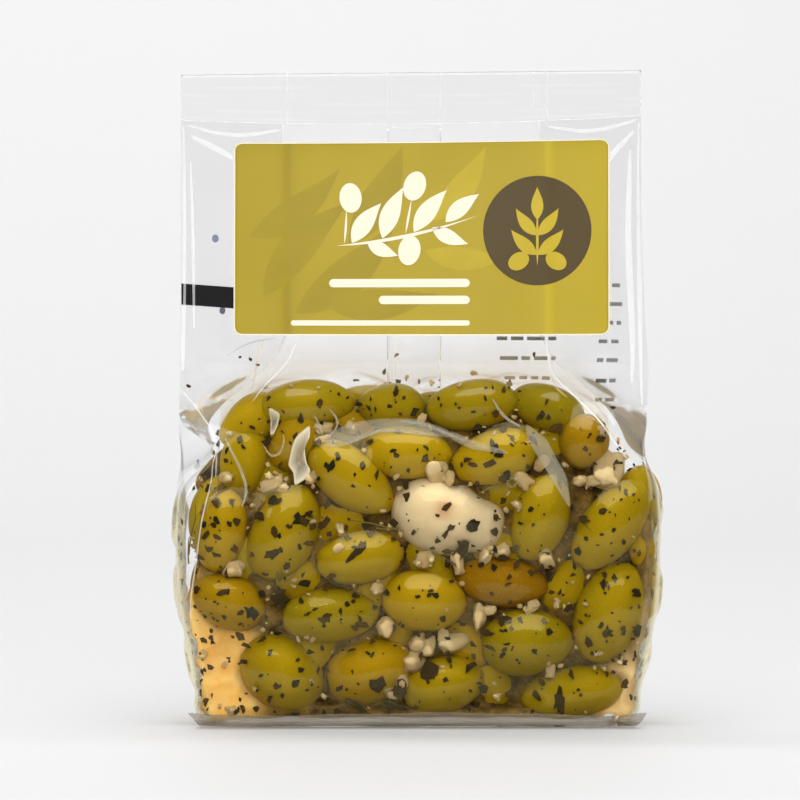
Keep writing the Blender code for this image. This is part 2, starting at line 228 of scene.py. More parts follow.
# Painted highlights along thin curved folds of the film over the contents: path in x and z, and width.
FOLD_LOOP_HIGHLIGHTS = (
    (((-40.0, 73.8), (-38.2, 71.5), (-35.3, 72.1), (-34.1, 75.0), (-34.7, 76.7)), 0.55),
    (((-22.4, 83.8), (-20.1, 81.4), (-20.4, 78.5), (-23.0, 76.2)), 0.6),
    (((-26.2, 82.0), (-24.8, 79.1), (-24.2, 76.7)), 0.6),
    (((-49.9, 75.0), (-45.9, 68.6), (-44.1, 62.7), (-45.3, 58.0)), 0.8),
    (((-3.7, 80.8), (3.4, 79.7), (9.8, 76.7), (13.9, 75.0)), 0.9),
    (((20.5, 86.0), (23.6, 81.5), (27.8, 79.2)), 0.8),
)

# Oil that has run into creases above the contents: its path in x and z, its width and its strength.
OIL_RUNS = (
    (((-39.2, 101.6), (-41.8, 92.8), (-43.0, 88.9)), 0.9, 0.3),
    (((-56.4, 86.7), (-52.0, 86.6), (-48.1, 86.1)), 0.5, 0.4),
    (((-57.0, 86.4), (-56.6, 84.5), (-56.1, 82.6)), 0.8, 0.45),
    (((-4.7, 101.6), (-4.9, 96.0), (-4.8, 92.0)), 0.6, 0.25),
    (((6.9, 101.0), (6.8, 96.0), (6.9, 91.0)), 0.6, 0.2),
    (((36.0, 92.0), (37.5, 89.0), (40.5, 86.5)), 0.7, 0.45),
    (((45.0, 82.0), (50.0, 79.0), (54.5, 75.0), (57.0, 70.0)), 0.7, 0.45),
)

# Painted highlights and painted milky reflections on folds of the film over the contents: how white each is,
# and its outline in x and z.
FOLD_HIGHLIGHTS = (
    (
        1.0,
        ((-27.4, 79.7), (-31.2, 76.1), (-32.7, 72.1), (-33.4, 69.4), (-31.8, 67.4), (-31.5, 63.6))
        + ((-28.3, 65.6), (-27.1, 67.7), (-28.3, 69.7), (-28.9, 73.2), (-27.4, 76.2)),
    ),
    (0.9, ((-38.5, 84.4), (-35.3, 82.6), (-35.9, 79.7), (-37.3, 76.5), (-38.2, 76.7), (-37.9, 80.8))),
    (
        0.2,
        ((-24.2, 75.6), (-19.5, 79.1), (-13.6, 80.9), (-6.0, 81.4), (1.0, 81.2), (9.4, 78.2))
        + ((9.4, 75.9), (1.0, 78.0), (-7.8, 78.5), (-14.8, 77.0), (-17.8, 73.8), (-22.4, 73.2)),
    ),
    (0.25, ((9.4, 78.2), (16.5, 74.6), (24.0, 72.4), (24.6, 71.4), (15.7, 72.6), (9.4, 75.9))),
    (
        0.3,
        ((29.7, 75.6), (32.7, 70.9), (35.0, 67.4), (37.3, 62.7), (41.2, 57.1))
        + ((40.3, 66.2), (37.3, 71.5), (35.0, 76.2), (29.1, 80.3)),
    ),
)

# Creases and film edges drawn as pale lines, partly real creases and partly a painted highlight: the path in
# x and z, the width, and the panel. The ones in the middle run through the pressed seal.
CREASE_HIGHLIGHTS = (
    (((-60.5, 93), (-60.6, 125), (-60.6, 157.5)), 1.7, "front"),
    (((-57.6, 104), (-57.9, 128), (-58.6, 148)), 0.8, "front"),
    (((59.6, 84), (59.0, 110), (58.9, 157.0)), 1.2, "front"),
    (((57.3, 90), (57.0, 108), (55.9, 126), (56.6, 150)), 1.7, "front"),
    (((-33.3, 157.5), (-33.3, 171.0)), 0.6, "middle"),
    (((-7.0, 157.0), (-7.0, 171.0)), 0.5, "middle"),
    (((7.0, 157.0), (7.0, 171.0)), 0.5, "middle"),
    (((31.2, 158.5), (31.4, 171.0)), 0.6, "middle"),
    (((34.9, 157.5), (35.1, 171.0)), 0.8, "middle"),
    (((-7.0, 86), (-7.0, 157.0)), 0.5, "back"),
    (((7.0, 86), (7.0, 157.0)), 0.5, "back"),
    (((-50.0, 96), (-43.5, 100), (-36.0, 101)), 0.5, "back"),
    (((-59.5, 157.8), (-47.0, 154.8), (-35.0, 157.2)), 1.1, "front"),
    (((-58.5, 155.0), (-50.0, 150.5), (-46.0, 148.0)), 1.6, "front"),
    (((35.0, 157.4), (46.0, 155.0), (58.5, 158.0)), 1.1, "front"),
    (((57.5, 155.0), (50.0, 147.0), (48.0, 141.0)), 1.5, "front"),
    (((-61.0, 88.2), (-57.6, 84.0), (-53.5, 77.5), (-51.6, 72.0), (-52.6, 66.0)), 0.5, "front"),
    (
        ((-52.0, 73.0), (-54.5, 62.0), (-56.3, 52.0), (-58.3, 42.0), (-60.2, 32.0), (-60.4, 22.0)),
        0.45,
        "front",
    ),
    (((-31.0, 100.0), (-33.0, 95.0), (-39.5, 90.0), (-42.8, 86.0)), 0.5, "front"),
    (((34.5, 101.0), (35.3, 93.0), (41.5, 88.0), (48.0, 81.5), (54.0, 73.0), (58.5, 67.5)), 0.45, "front"),
)

# The paste between the olives: its rows of points and where its noise starts. Then how far behind the film it
# lies, how uneven it is, how far its top lies below the level, and the share of its height where it closes.
PASTE_ROWS, PASTE_SEED = 90, 4.0
PASTE_DEPTH, PASTE_ROUGHNESS, PASTE_TOP_DROP, PASTE_CLOSE = 5.6, 1.6, 4.0, 0.12


class FilmSettings(bpy.types.PropertyGroup):
    """Finish of the clear film."""

    roughness: FloatProperty(
        name="Film roughness", description="Gloss of the film", default=0.085, min=0, max=1
    )
    ripple: FloatProperty(
        name="Ripple depth", description="Depth of the fine ripples", default=0.15, min=0, max=2
    )
    sheen: FloatProperty(
        name="Mirror share", description="How strongly slanted film mirrors lamps", default=0.7, min=0
    )


class ContentsSettings(bpy.types.PropertyGroup):
    """The olives, garlic and herbs."""

    flakes_front: IntProperty(
        name="Front flakes", description="Herb flakes behind the front", default=600, min=0
    )
    flakes_back: IntProperty(
        name="Back flakes", description="Herb flakes behind the back", default=650, min=0
    )
    flakes_side: IntProperty(
        name="Side flakes", description="Herb flakes behind each side", default=110, min=0
    )
    crumbs: IntProperty(name="Garlic crumbs", description="Fine pieces of chopped garlic", default=200, min=0)
    green: FloatVectorProperty(
        name="Green olive",
        description="Skin of the greenest olives",
        subtype="COLOR",
        default=(0.29, 0.215, 0.002),
    )
    yellow: FloatVectorProperty(
        name="Yellow olive",
        description="Skin of the yellow olives",
        subtype="COLOR",
        default=(0.5, 0.33, 0.002),
    )
    amber: FloatVectorProperty(
        name="Amber olive",
        description="Skin of the ripest olives",
        subtype="COLOR",
        default=(0.33, 0.16, 0.001),
    )


class LabelSettings(bpy.types.PropertyGroup):
    """The printed label."""

    field: FloatVectorProperty(
        name="Field", description="The label's mustard yellow", subtype="COLOR", default=(0.39, 0.29, 0.015)
    )
    cream: FloatVectorProperty(
        name="Cream print", description="The light print", subtype="COLOR", default=(0.78, 0.72, 0.55)
    )
    dark: FloatVectorProperty(
        name="Dark print", description="The round dark field", subtype="COLOR", default=(0.085, 0.058, 0.022)
    )


class StageSettings(bpy.types.PropertyGroup):
    """Camera and light."""

    room: FloatProperty(name="Room light", description="Dim light from all round", default=0.06, min=0)
    distance: FloatProperty(name="Camera distance", description="From the bag", default=2.4, unit="LENGTH")
    elevation: FloatProperty(
        name="Camera height angle", description="Above level", default=math.radians(2.0), subtype="ANGLE"
    )


def ramp(value, low, high):
    """0 below low, 1 above high, eased between."""
    t = np.clip((value - low) / (high - low), 0.0, 1.0)
    return t * t * (3 - 2 * t)


def station(column, z):
    """One column of the stations at any height, as a smooth curve through them."""
    knots = STATIONS[:, 0]
    values = STATIONS[:, column]
    slopes = np.gradient(values, knots)
    z = np.clip(z, knots[0], knots[-1])
    low = np.clip(np.searchsorted(knots, z, side="right") - 1, 0, len(knots) - 2)
    step = knots[low + 1] - knots[low]
    t = (z - knots[low]) / step
    start = (1 + 2 * t) * (1 - t) ** 2 * values[low] + t * (1 - t) ** 2 * step * slopes[low]
    end = t * t * (3 - 2 * t) * values[low + 1] + t * t * (t - 1) * step * slopes[low + 1]
    return start + end


def pinch(z):
    """How far the front panel's left edge is drawn in where the headspace folds against the olives."""
    reach = np.where(z < PINCH_HEIGHT, PINCH_REACH_DOWN, PINCH_REACH_UP)
    return PINCH_DEPTH * np.exp(-(((z - PINCH_HEIGHT) / reach) ** 2))


def panel_depth(s, z):
    """Half depth of a panel at s, from -1 at its left edge to 1 at its right edge."""
    edge = station(EDGE_DEPTH, z)
    middle = station(MIDDLE_DEPTH, z)
    power = 3.4 - 1.2 * ramp(z, BODY_TOP, HEADSPACE_BOTTOM + 18)
    return edge + (middle - edge) * (1 - np.abs(s) ** power)


def across_front(x, z):
    """Where x lies between the front panel's edges, from -1 to 1."""
    left = station(LEFT, z) + pinch(z)
    right = station(RIGHT, z)
    return np.clip((2 * x - left - right) / (right - left), -1.0, 1.0)


def front_y(x, z):
    """The front panel's y at any x and height, before the film is drawn in."""
    return -panel_depth(across_front(x, z), z)


def headspace_relief(x, z):
    """How far the headspace film lies behind its smooth panel: soft waves, and ridges over the folds."""
    wave = 0.34 + 0.2 * np.sin(x / 11.0 + z / 31.0) + 0.14 * np.sin(x / 5.3 - z / 17.0 + 1.3)
    folds = 0.3 * np.exp(-(((x + 32.5) / 2.2) ** 2)) + 0.26 * np.exp(-(((x - 34.6) / 2.2) ** 2))
    return np.maximum(wave - folds, 0.0) * ramp(z, 96, 104) * (1 - ramp(z, 150, 158))


def tube(z):
    """The film's x and y round the bag for each height in z, anticlockwise from the front left edge."""
    z = np.asarray(z, float)[:, None]
    front_left = station(LEFT, z) + pinch(z)
    back_left = station(LEFT, z)
    right = station(RIGHT, z)
    edge = station(EDGE_DEPTH, z)
    gusset = station(GUSSET, z)
    across = np.linspace(-1.0, 1.0, FRONT_CELLS + 1)[None, :]
    along = np.linspace(0.0, 1.0, SIDE_CELLS + 1)[None, 1:-1]
    curve = 1.0 + 1.5 * (1 - ramp(z, BODY_TOP - 6, HEADSPACE_BOTTOM - 4))
    stand_out = gusset * (1 - np.abs(2 * along - 1) ** curve)
    front_x = (front_left + right) / 2 + across * (right - front_left) / 2
    back_x = (back_left + right) / 2 - across * (right - back_left) / 2
    right_x = right + stand_out
    left_x = back_left + (front_left - back_left) * along - stand_out
    side_y = edge * (2 * along - 1)
    front_in = headspace_relief(front_x, z)
    back_in = headspace_relief(-back_x + 3.0, z + 12.0)
    x = np.hstack((front_x, right_x, back_x, left_x))
    y = np.hstack((front_in - panel_depth(across, z), side_y, panel_depth(-across, z) - back_in, -side_y))
    filled = 1 - ramp(z, BODY_TOP - 14, HEADSPACE_BOTTOM - 2)
    for _ in range(CORNER_PASSES):
        x = x + filled * (np.roll(x, 1, 1) + np.roll(x, -1, 1) - 2 * x) / 4
        y = y + filled * (np.roll(y, 1, 1) + np.roll(y, -1, 1) - 2 * y) / 4
    return x, y


def turned(angle, tilt):
    """Axes of a body whose long axis rises by angle in the front plane and leans back by tilt, in degrees."""
    a = math.radians(angle)
    b = math.radians(tilt)
    long_axis = np.array((math.cos(a) * math.cos(b), math.sin(b), math.sin(a) * math.cos(b)))
    side = np.cross(long_axis, (0.0, 1.0, 0.0))
    side /= np.linalg.norm(side)
    return np.stack((long_axis, np.cross(side, long_axis), side))


@lru_cache(maxsize=None)
def heap():
    """The olives that touch the film, then the clove: each its middle, half sizes, axes and tone."""
    rng = random.Random(HEAP_SEED)
    found = []
    for x, z, length, width, angle, inset, tone in FRONT_LAYER:
        y = float(front_y(x, z)) + width / 2 + inset
        found.append((np.array((x, y, z)), np.array((length, width, width)) / 2, turned(angle, 0.0), tone))
    x, z, length, width, angle, inset = GARLIC_CLOVE
    y = float(front_y(x, z)) + width / 2 + inset
    clove = (np.array((x, y, z)), np.array((length, width, width)) / 2, turned(angle, 0.0), None)
    tones = random.Random(HEAP_SEED + 1)
    for x, z, length, width, angle, inset in [row[:6] for row in FRONT_LAYER]:
        x = -x + rng.uniform(-BACK_JITTER, BACK_JITTER)
        z = z + rng.uniform(-BACK_JITTER, BACK_JITTER) / 2
        angle = -angle + rng.uniform(-BACK_TURN, BACK_TURN)
        y = -float(front_y(x, z)) - width / 2 - inset / 2
        sizes = np.array((length, width, width)) / 2
        found.append((np.array((x, y, z)), sizes, turned(angle, 0.0), tones.uniform(0.05, 0.85)))
    for z in SIDE_LAYER_HEIGHTS:
        for column, sign in ((LEFT, -1), (RIGHT, 1)):
            x = float(station(column, z)) - sign * (SIDE_WIDTH / 2 - 1.5)
            middle = np.array((x, rng.uniform(-3, 3), z + rng.uniform(-2, 2)))
            sizes = np.array((SIDE_LENGTH, SIDE_WIDTH, SIDE_WIDTH)) / 2
            axes = turned(90 + rng.uniform(-20, 20), rng.uniform(-20, 20))
            found.append((middle, sizes, axes, tones.uniform(0.2, 0.7)))
    return found, clove


def reach(points, normals):
    """How far each film point can move inwards before it meets a body, up to the deepest dip."""
    olives, clove = heap()
    nearest = np.full(points.shape[:2], DEEPEST_DIP)
    for middle, sizes, axes, _ in olives + [clove]:
        start = (points - middle) @ axes.T / sizes
        ray = -normals @ axes.T / sizes
        a = (ray * ray).sum(-1)
        b = (start * ray).sum(-1)
        c = (start * start).sum(-1) - 1
        inside = b * b - a * c
        hit = (-b - np.sqrt(np.maximum(inside, 0))) / a
        hit = np.where((inside > 0) & (-b > 0), np.maximum(hit, 0), DEEPEST_DIP)
        nearest = np.minimum(nearest, hit)
    return nearest


def grid_normals(points):
    """Outward normals of a grid whose columns run round the bag."""
    round_step = np.roll(points, -1, 1) - np.roll(points, 1, 1)
    up_step = np.gradient(points, axis=0)
    normals = np.cross(round_step, up_step)
    return normals / np.maximum(np.linalg.norm(normals, axis=-1, keepdims=True), 1e-9)


def level_top(points):
    """The top edge's slight rise to the right and the seal's sag, fading out down the headspace."""
    middle = (STATIONS[-1, LEFT] + STATIONS[-1, RIGHT]) / 2
    s = (points[..., 0] - middle) / (STATIONS[-1, RIGHT] - middle)
    z = points[..., 2]
    rise = TOP_RISE * s * ramp(z, DRAPE_TOP, BAG_HEIGHT - SEAL_HEIGHT)
    sag_in = ramp(z, SAG_START, BAG_HEIGHT - SEAL_HEIGHT)
    sag_out = 1 - ramp(z, BAG_HEIGHT - SEAL_HEIGHT, BAG_HEIGHT)
    points[..., 2] += rise - SEAL_SAG * (1 - s * s) * sag_in * sag_out
    return points


def rounded(normals):
    """Normals blurred round the bag, so that they turn gradually at the panels' corners."""
    steps = range(-CORNER_BLUR, CORNER_BLUR + 1)
    total = sum(np.roll(normals, k, 1) * (CORNER_BLUR + 1 - abs(k)) for k in steps)
    return total / np.maximum(np.linalg.norm(total, axis=-1, keepdims=True), 1e-9)


@lru_cache(maxsize=None)
def film():
    """The draped film: its points, its outward normals and the height of each row."""
    body = np.arange(FIN_ROOT, DRAPE_TOP, BODY_ROW_STEP)
    headspace = np.arange(body[-1] + HEADSPACE_ROW_STEP, STATIONS[-1, 0], HEADSPACE_ROW_STEP)
    heights = np.concatenate((body, headspace, STATIONS[-1:, 0]))
    x, y = tube(heights)
    points = np.stack((x, y, np.broadcast_to(heights[:, None], x.shape)), -1)
    normals = rounded(grid_normals(points))
    z = points[..., 2]
    free = ramp(z, DRAPE_BOTTOM, DRAPE_BOTTOM + 4) * (1 - ramp(z, DRAPE_TOP - 8, DRAPE_TOP))
    folded = np.abs(normals[..., 0]) > 0.5
    free = free * np.where(folded, 1 - ramp(z, BODY_TOP - 12, BODY_TOP), 1.0)
    side = np.clip((np.abs(normals[..., 0]) - 0.3) / 0.4, 0.0, 1.0)
    limit = np.minimum(reach(points, normals), DEEPEST_DIP * (1 - side) + SIDE_DIP * side) * free
    round_step = 0.5 * np.linalg.norm(np.roll(points, -1, 1) - np.roll(points, 1, 1), axis=-1)
    weight_round = 1 / np.maximum(round_step, 0.4) ** 2
    weight_up = 1 / np.maximum(np.linalg.norm(np.gradient(points, axis=0), axis=-1), 0.4) ** 2
    dip = np.zeros(z.shape)
    for _ in range(RELAX_STEPS):
        above = np.vstack((dip[1:], dip[-1:]))
        below = np.vstack((dip[:1], dip[:-1]))
        beside = np.roll(dip, 1, 1) + np.roll(dip, -1, 1)
        even = weight_round * beside + weight_up * (above + below) + PULL
        dip = np.minimum(even / (2 * (weight_round + weight_up)), limit)
    points = level_top(points - normals * dip[..., None])
    return points, rounded(grid_normals(points)), heights


def on_film(column, height, inset):
    """Points at a distance inside the film, at places given by grid column and height."""
    points, normals, heights = film()
    row = np.interp(height, heights, np.arange(len(heights)))
    r0 = np.minimum(np.floor(row).astype(int), len(heights) - 2)
    c0 = np.floor(column).astype(int)
    fr = (row - r0)[..., None]
    fc = (column - c0)[..., None]
    count = points.shape[1]
    c0, c1 = c0 % count, (c0 + 1) % count

    def between(field):
        low = field[r0, c0] * (1 - fc) + field[r0, c1] * fc
        high = field[r0 + 1, c0] * (1 - fc) + field[r0 + 1, c1] * fc
        return low * (1 - fr) + high * fr

    return between(points) - between(normals) * np.asarray(inset)[..., None]


def column_at(side, x, z):
    """The grid column at x on the front or back, or at x from 0 to 1 round a side."""
    if side == "front":
        return (across_front(x, z) + 1) / 2 * FRONT_CELLS
    if side == "back":
        left = station(LEFT, z)
        right = station(RIGHT, z)
        across = np.clip((2 * x - left - right) / (right - left), -1, 1)
        return FRONT_CELLS + SIDE_CELLS + (1 - across) / 2 * FRONT_CELLS
    start = FRONT_CELLS if side == "right" else 2 * FRONT_CELLS + SIDE_CELLS
    return start + np.asarray(x) * SIDE_CELLS


def behind_film(side, x, z, inset):
    """Points at a distance inside the film, at x and z on the front or back."""
    x, z = np.broadcast_arrays(x, z)
    return on_film(column_at(side, x, z), z, np.broadcast_to(np.asarray(inset, float), x.shape))


def olive_room(points):
    """How far outside every olive and the clove each point is, roughly; below zero inside one."""
    olives, clove = heap()
    room = np.full(points.shape[:-1], 1e3)
    for middle, sizes, axes, _ in olives + [clove]:
        away = np.linalg.norm((points - middle) @ axes.T / sizes, axis=-1) - 1
        room = np.minimum(room, away * sizes.min())
    return room


class MeshStore:
    """Gathers vertices, faces and one value a vertex for a joined mesh."""

    def __init__(self):
        self.verts = []
        self.faces = []
        self.values = []
        self.marks = []
        self.count = 0

    def add(self, verts, faces, value=0.0, mark=0.0):
        """Adds one body; value and mark are numbers, or one for each vertex."""
        verts = np.asarray(verts, float).reshape(-1, 3)
        self.verts.append(verts)
        self.values.append(np.broadcast_to(np.asarray(value, float), (len(verts),)))
        self.marks.append(np.broadcast_to(np.asarray(mark, float), (len(verts),)))
        self.faces.extend([tuple(int(i) + self.count for i in face) for face in faces])
        self.count += len(verts)

    def build(self, name, material, replaces, smooth=True, sharp=0):
        """Makes the object, gives it its finish, hides the solid it replaces and sets what it rides on."""
        mesh = bpy.data.meshes.new(name)
        mesh.from_pydata((np.concatenate(self.verts) * MM).tolist(), [], self.faces)
        mesh.validate()
        for layer, values in (("tone", self.values), ("mark", self.marks)):
            if np.ptp(np.concatenate(values)) > 0 or layer == "tone":
                mesh.attributes.new(layer, "FLOAT", "POINT").data.foreach_set("value", np.concatenate(values))
        mesh.shade_smooth() if smooth else mesh.shade_flat()
        if sharp:
            mesh.set_sharp_from_angle(angle=math.radians(sharp))
        mesh.materials.append(material)
        obj = bpy.data.objects.new(name, mesh)
        bpy.context.scene.collection.objects.link(obj)
        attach(obj, "root")
        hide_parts(replaces)
        return obj


def grid_faces(rows, columns, closed=False, start=0, flip=False):
    """Quads of a grid stored row by row; closed joins its last column to the first, flip turns them over."""
    faces = []
    for r in range(rows - 1):
        for c in range(columns if closed else columns - 1):
            d = (c + 1) % columns
            low = start + r * columns
            face = (low + c, low + d, low + columns + d, low + columns + c)
            faces.append(face[::-1] if flip else face)
    return faces


def cap_faces(start=0, flip=False):
    """Quads across one row of the film's grid, from the front panel's columns to the back panel's."""
    last = start + 2 * FRONT_CELLS + SIDE_CELLS
    faces = []
    for k in range(start, start + FRONT_CELLS):
        face = (k + 1, k, last - k + start, last - k + start - 1)
        faces.append(face[::-1] if flip else face)
    return faces


def slab(front, back):
    """Vertices and faces of a thin closed sheet between two grids of the same size."""
    rows, columns = front.shape[:2]
    size = rows * columns
    verts = np.concatenate((front.reshape(-1, 3), back.reshape(-1, 3)))
    faces = grid_faces(rows, columns)
    faces += grid_faces(rows, columns, start=size, flip=True)
    rim = list(range(columns))
    rim += [r * columns + columns - 1 for r in range(1, rows)]
    rim += [(rows - 1) * columns + c for c in range(columns - 2, -1, -1)]
    rim += [r * columns for r in range(rows - 2, 0, -1)]
    for k, i in enumerate(rim):
        j = rim[(k + 1) % len(rim)]
        faces.append((i, i + size, j + size, j))
    return verts, faces


def new_material(name):
    """A material with its Principled shader, ready for nodes."""
    material = bpy.data.materials.new(name)
    material.use_nodes = True
    tree = material.node_tree
    return material, tree, tree.nodes["Principled BSDF"]


def link(tree, out, into):
    """Joins an output socket to an input socket."""
    tree.links.new(out, into)


def math_node(tree, operation, first, second):
    """A Math node; each side is a socket or a number."""
    node = tree.nodes.new("ShaderNodeMath")
    node.operation = operation
    for socket, value in zip(node.inputs, (first, second)):
        if hasattr(value, "is_output"):
            link(tree, value, socket)
        else:
            socket.default_value = value
    return node.outputs[0]


def mix_colour(tree, factor, first, second):
    """A colour mix; each side is a socket or a colour."""
    node = tree.nodes.new("ShaderNodeMix")
    node.data_type = "RGBA"
    for socket, value in ((node.inputs[0], factor), (node.inputs[6], first), (node.inputs[7], second)):
        if hasattr(value, "is_output"):
            link(tree, value, socket)
        elif socket.type == "RGBA":
            socket.default_value = (*value[:3], 1.0)
        else:
            socket.default_value = value
    return node.outputs[2]


def map_range(tree, value, from_min, from_max, to_min=0.0, to_max=1.0, eased=False):
    """A value moved from one range to another and held within it."""
    node = tree.nodes.new("ShaderNodeMapRange")
    node.interpolation_type = "SMOOTHSTEP" if eased else "LINEAR"
    link(tree, value, node.inputs["Value"])
    limits = {"From Min": from_min, "From Max": from_max, "To Min": to_min, "To Max": to_max}
    for socket, limit in limits.items():
        node.inputs[socket].default_value = limit
    return node.outputs[0]


def see_through(tree, share, shader):
    """Ends a material that is clear where share is 0 and shows its shader where share is 1."""
    clear = tree.nodes.new("ShaderNodeBsdfTransparent")
    mix = tree.nodes.new("ShaderNodeMixShader")
    link(tree, share, mix.inputs[0])
    link(tree, clear.outputs[0], mix.inputs[1])
    link(tree, shader.outputs[0], mix.inputs[2])
    link(tree, mix.outputs[0], tree.nodes["Material Output"].inputs["Surface"])


def soft_food(shader, roughness, sunk, spread):
    """Gives a shader the look of soaked food: gloss, how much light sinks in, how far each colour goes."""
    shader.inputs["Roughness"].default_value = roughness
    shader.inputs["Subsurface Weight"].default_value = sunk
    shader.inputs["Subsurface Radius"].default_value = spread
    shader.inputs["Subsurface Scale"].default_value = 0.003
    shader.inputs["Specular IOR Level"].default_value = 0.12


def mottle_group():
    """Shared effect: soft patches and fine speckle, as masks and a small normal."""
    if "Mottle" in bpy.data.node_groups:
        return bpy.data.node_groups["Mottle"]
    group = bpy.data.node_groups.new("Mottle", "ShaderNodeTree")
    for name, value in (("Patch size", 300.0), ("Speckle size", 2500.0), ("Bump", 0.1)):
        socket = group.interface.new_socket(name, in_out="INPUT", socket_type="NodeSocketFloat")
        socket.default_value = value
    for name, kind in (("Patches", "Float"), ("Speckle", "Float"), ("Normal", "Vector")):
        group.interface.new_socket(name, in_out="OUTPUT", socket_type=f"NodeSocket{kind}")
    start = group.nodes.new("NodeGroupInput")
    end = group.nodes.new("NodeGroupOutput")
    place = group.nodes.new("ShaderNodeTexCoord")
    patches = group.nodes.new("ShaderNodeTexNoise")
    patches.inputs["Detail"].default_value = 3.0
    speckle = group.nodes.new("ShaderNodeTexNoise")
    speckle.inputs["Detail"].default_value = 1.0
    for node, size in ((patches, "Patch size"), (speckle, "Speckle size")):
        link(group, place.outputs["Object"], node.inputs["Vector"])
        link(group, start.outputs[size], node.inputs["Scale"])
    bump = group.nodes.new("ShaderNodeBump")
    bump.inputs["Distance"].default_value = 0.0004
    link(group, start.outputs["Bump"], bump.inputs["Strength"])
    link(group, patches.outputs["Fac"], bump.inputs["Height"])
    link(group, patches.outputs["Fac"], end.inputs["Patches"])
    link(group, map_range(group, speckle.outputs["Fac"], 0.58, 0.72), end.inputs["Speckle"])
    link(group, bump.outputs[0], end.inputs["Normal"])
    return group


def add_mottle(tree, patch_size, speckle_size, bump):
    """Places the shared mottle in a material with its own values."""
    node = tree.nodes.new("ShaderNodeGroup")
    node.node_tree = mottle_group()
    node.inputs["Patch size"].default_value = patch_size
    node.inputs["Speckle size"].default_value = speckle_size
    node.inputs["Bump"].default_value = bump
    return node.outputs


def tone_value(tree, layer="tone"):
    """The value that the mesh holds for each vertex in a layer."""
    node = tree.nodes.new("ShaderNodeAttribute")
    node.attribute_name = layer
    return node.outputs["Fac"]


def film_material(name, roughness, ripple, sheen, haze):
    """Clear film: it shows what is behind it and mirrors the lamps by the angle they are seen at."""
    material, tree, shader = new_material(name)
    tint = mix_colour(tree, tone_value(tree), (0.96, 0.97, 0.98), (0.98, 0.88, 0.48))
    link(tree, tint, shader.inputs["Base Color"])
    shader.inputs["Metallic"].default_value = 1.0
    shader.inputs["Roughness"].default_value = roughness
    place = tree.nodes.new("ShaderNodeTexCoord")
    ripples = tree.nodes.new("ShaderNodeTexNoise")
    ripples.inputs["Scale"].default_value = 170.0
    ripples.inputs["Detail"].default_value = 2.0
    link(tree, place.outputs["Object"], ripples.inputs["Vector"])
    bump = tree.nodes.new("ShaderNodeBump")
    bump.inputs["Distance"].default_value = 0.001
    bump.inputs["Strength"].default_value = ripple
    link(tree, ripples.outputs["Fac"], bump.inputs["Height"])
    link(tree, bump.outputs[0], shader.inputs["Normal"])
    fresnel = tree.nodes.new("ShaderNodeFresnel")
    fresnel.inputs["IOR"].default_value = 1.5
    link(tree, bump.outputs[0], fresnel.inputs["Normal"])
    see_through(tree, map_range(tree, fresnel.outputs[0], 0.04, 0.3, haze, sheen + haze), shader)
    return material


def make_film(settings):
    """The clear tube from base to top seal, with its flat base."""
    points, _, _ = film()
    rows, columns = points.shape[:2]
    ring = points[0].copy()
    ring[:, 2] = 0.05
    ring[:, :2] *= 0.985
    store = MeshStore()
    verts = np.concatenate((ring[None], points))
    faces = grid_faces(rows + 1, columns, closed=True) + cap_faces()
    wet = ramp(marinade_level(np.clip(verts[..., 0], -60, 60)) - verts[..., 2], 0.0, 5.0)
    store.add(verts, faces, wet.reshape(-1))
    material = film_material("Clear film", settings.roughness, settings.ripple, settings.sheen, 0.04)
    return store.build("film", material, "bag", sharp=48)


def make_top_seal(settings):
    """The pressed top seal: crimped ribs below a plain strip with an uneven edge."""
    rng = random.Random(3)
    ribbed_low = BAG_HEIGHT - SEAL_HEIGHT
    ribbed_high = BAG_HEIGHT - PLAIN_STRIP
    ribs = np.linspace(ribbed_low, ribbed_high, 10 * RIB_COUNT + 1)
    heights = np.concatenate((ribs, (BAG_HEIGHT - 1.2, BAG_HEIGHT)))
    x = np.linspace(STATIONS[-1, LEFT], STATIONS[-1, RIGHT], 161)
    z = np.repeat(heights[:, None], x.size, 1)
    share = np.clip((z - ribbed_low) / (ribbed_high - ribbed_low), 0, 1)
    drift = np.sin(x / 9.0 + 1.2 * np.sin(x / 4.1))[None, :]
    uneven = 0.5 + 0.5 * drift * np.cos(share * 9.0 + x[None, :] / 21.0)
    wave = RIB_DEPTH * 0.2 * uneven * np.sin(2 * math.pi * RIB_COUNT * share)
    bend = 0.06 * np.sin(x / 7.0)[None, :] * ramp(z, ribbed_low + 2, BAG_HEIGHT)
    edge = np.array([rng.uniform(-0.22, 0.0) for _ in x])
    z[-1] += np.convolve(edge, np.ones(3) / 3, "same")
    grid_x = np.repeat(x[None, :], len(heights), 0)
    front = level_top(np.stack((grid_x, wave + bend - 0.09, z), -1))
    back = level_top(np.stack((grid_x, wave + bend + 0.09, z), -1))
    store = MeshStore()
    store.add(*slab(front, back))
    material = film_material("Sealed film", 0.26, settings.ripple, settings.sheen, 0.05)
    return store.build("top_seal", material, "bag")


def hazy_material(name, colour, share, slant_share, roughness):
    """Pressed or creased film: clear, with a milky share that grows where it is seen at a slant."""
    material, tree, shader = new_material(name)
    mottle = add_mottle(tree, 260.0, 1500.0, 0.3)
    pale = [min(c * 1.08, 1.0) for c in colour]
    link(tree, mix_colour(tree, mottle["Patches"], colour, pale), shader.inputs["Base Color"])
    link(tree, mottle["Normal"], shader.inputs["Normal"])
    shader.inputs["Roughness"].default_value = roughness
    fresnel = tree.nodes.new("ShaderNodeFresnel")
    fresnel.inputs["IOR"].default_value = 1.5
    see_through(tree, map_range(tree, fresnel.outputs[0], 0.04, 0.5, share, slant_share), shader)
    return material


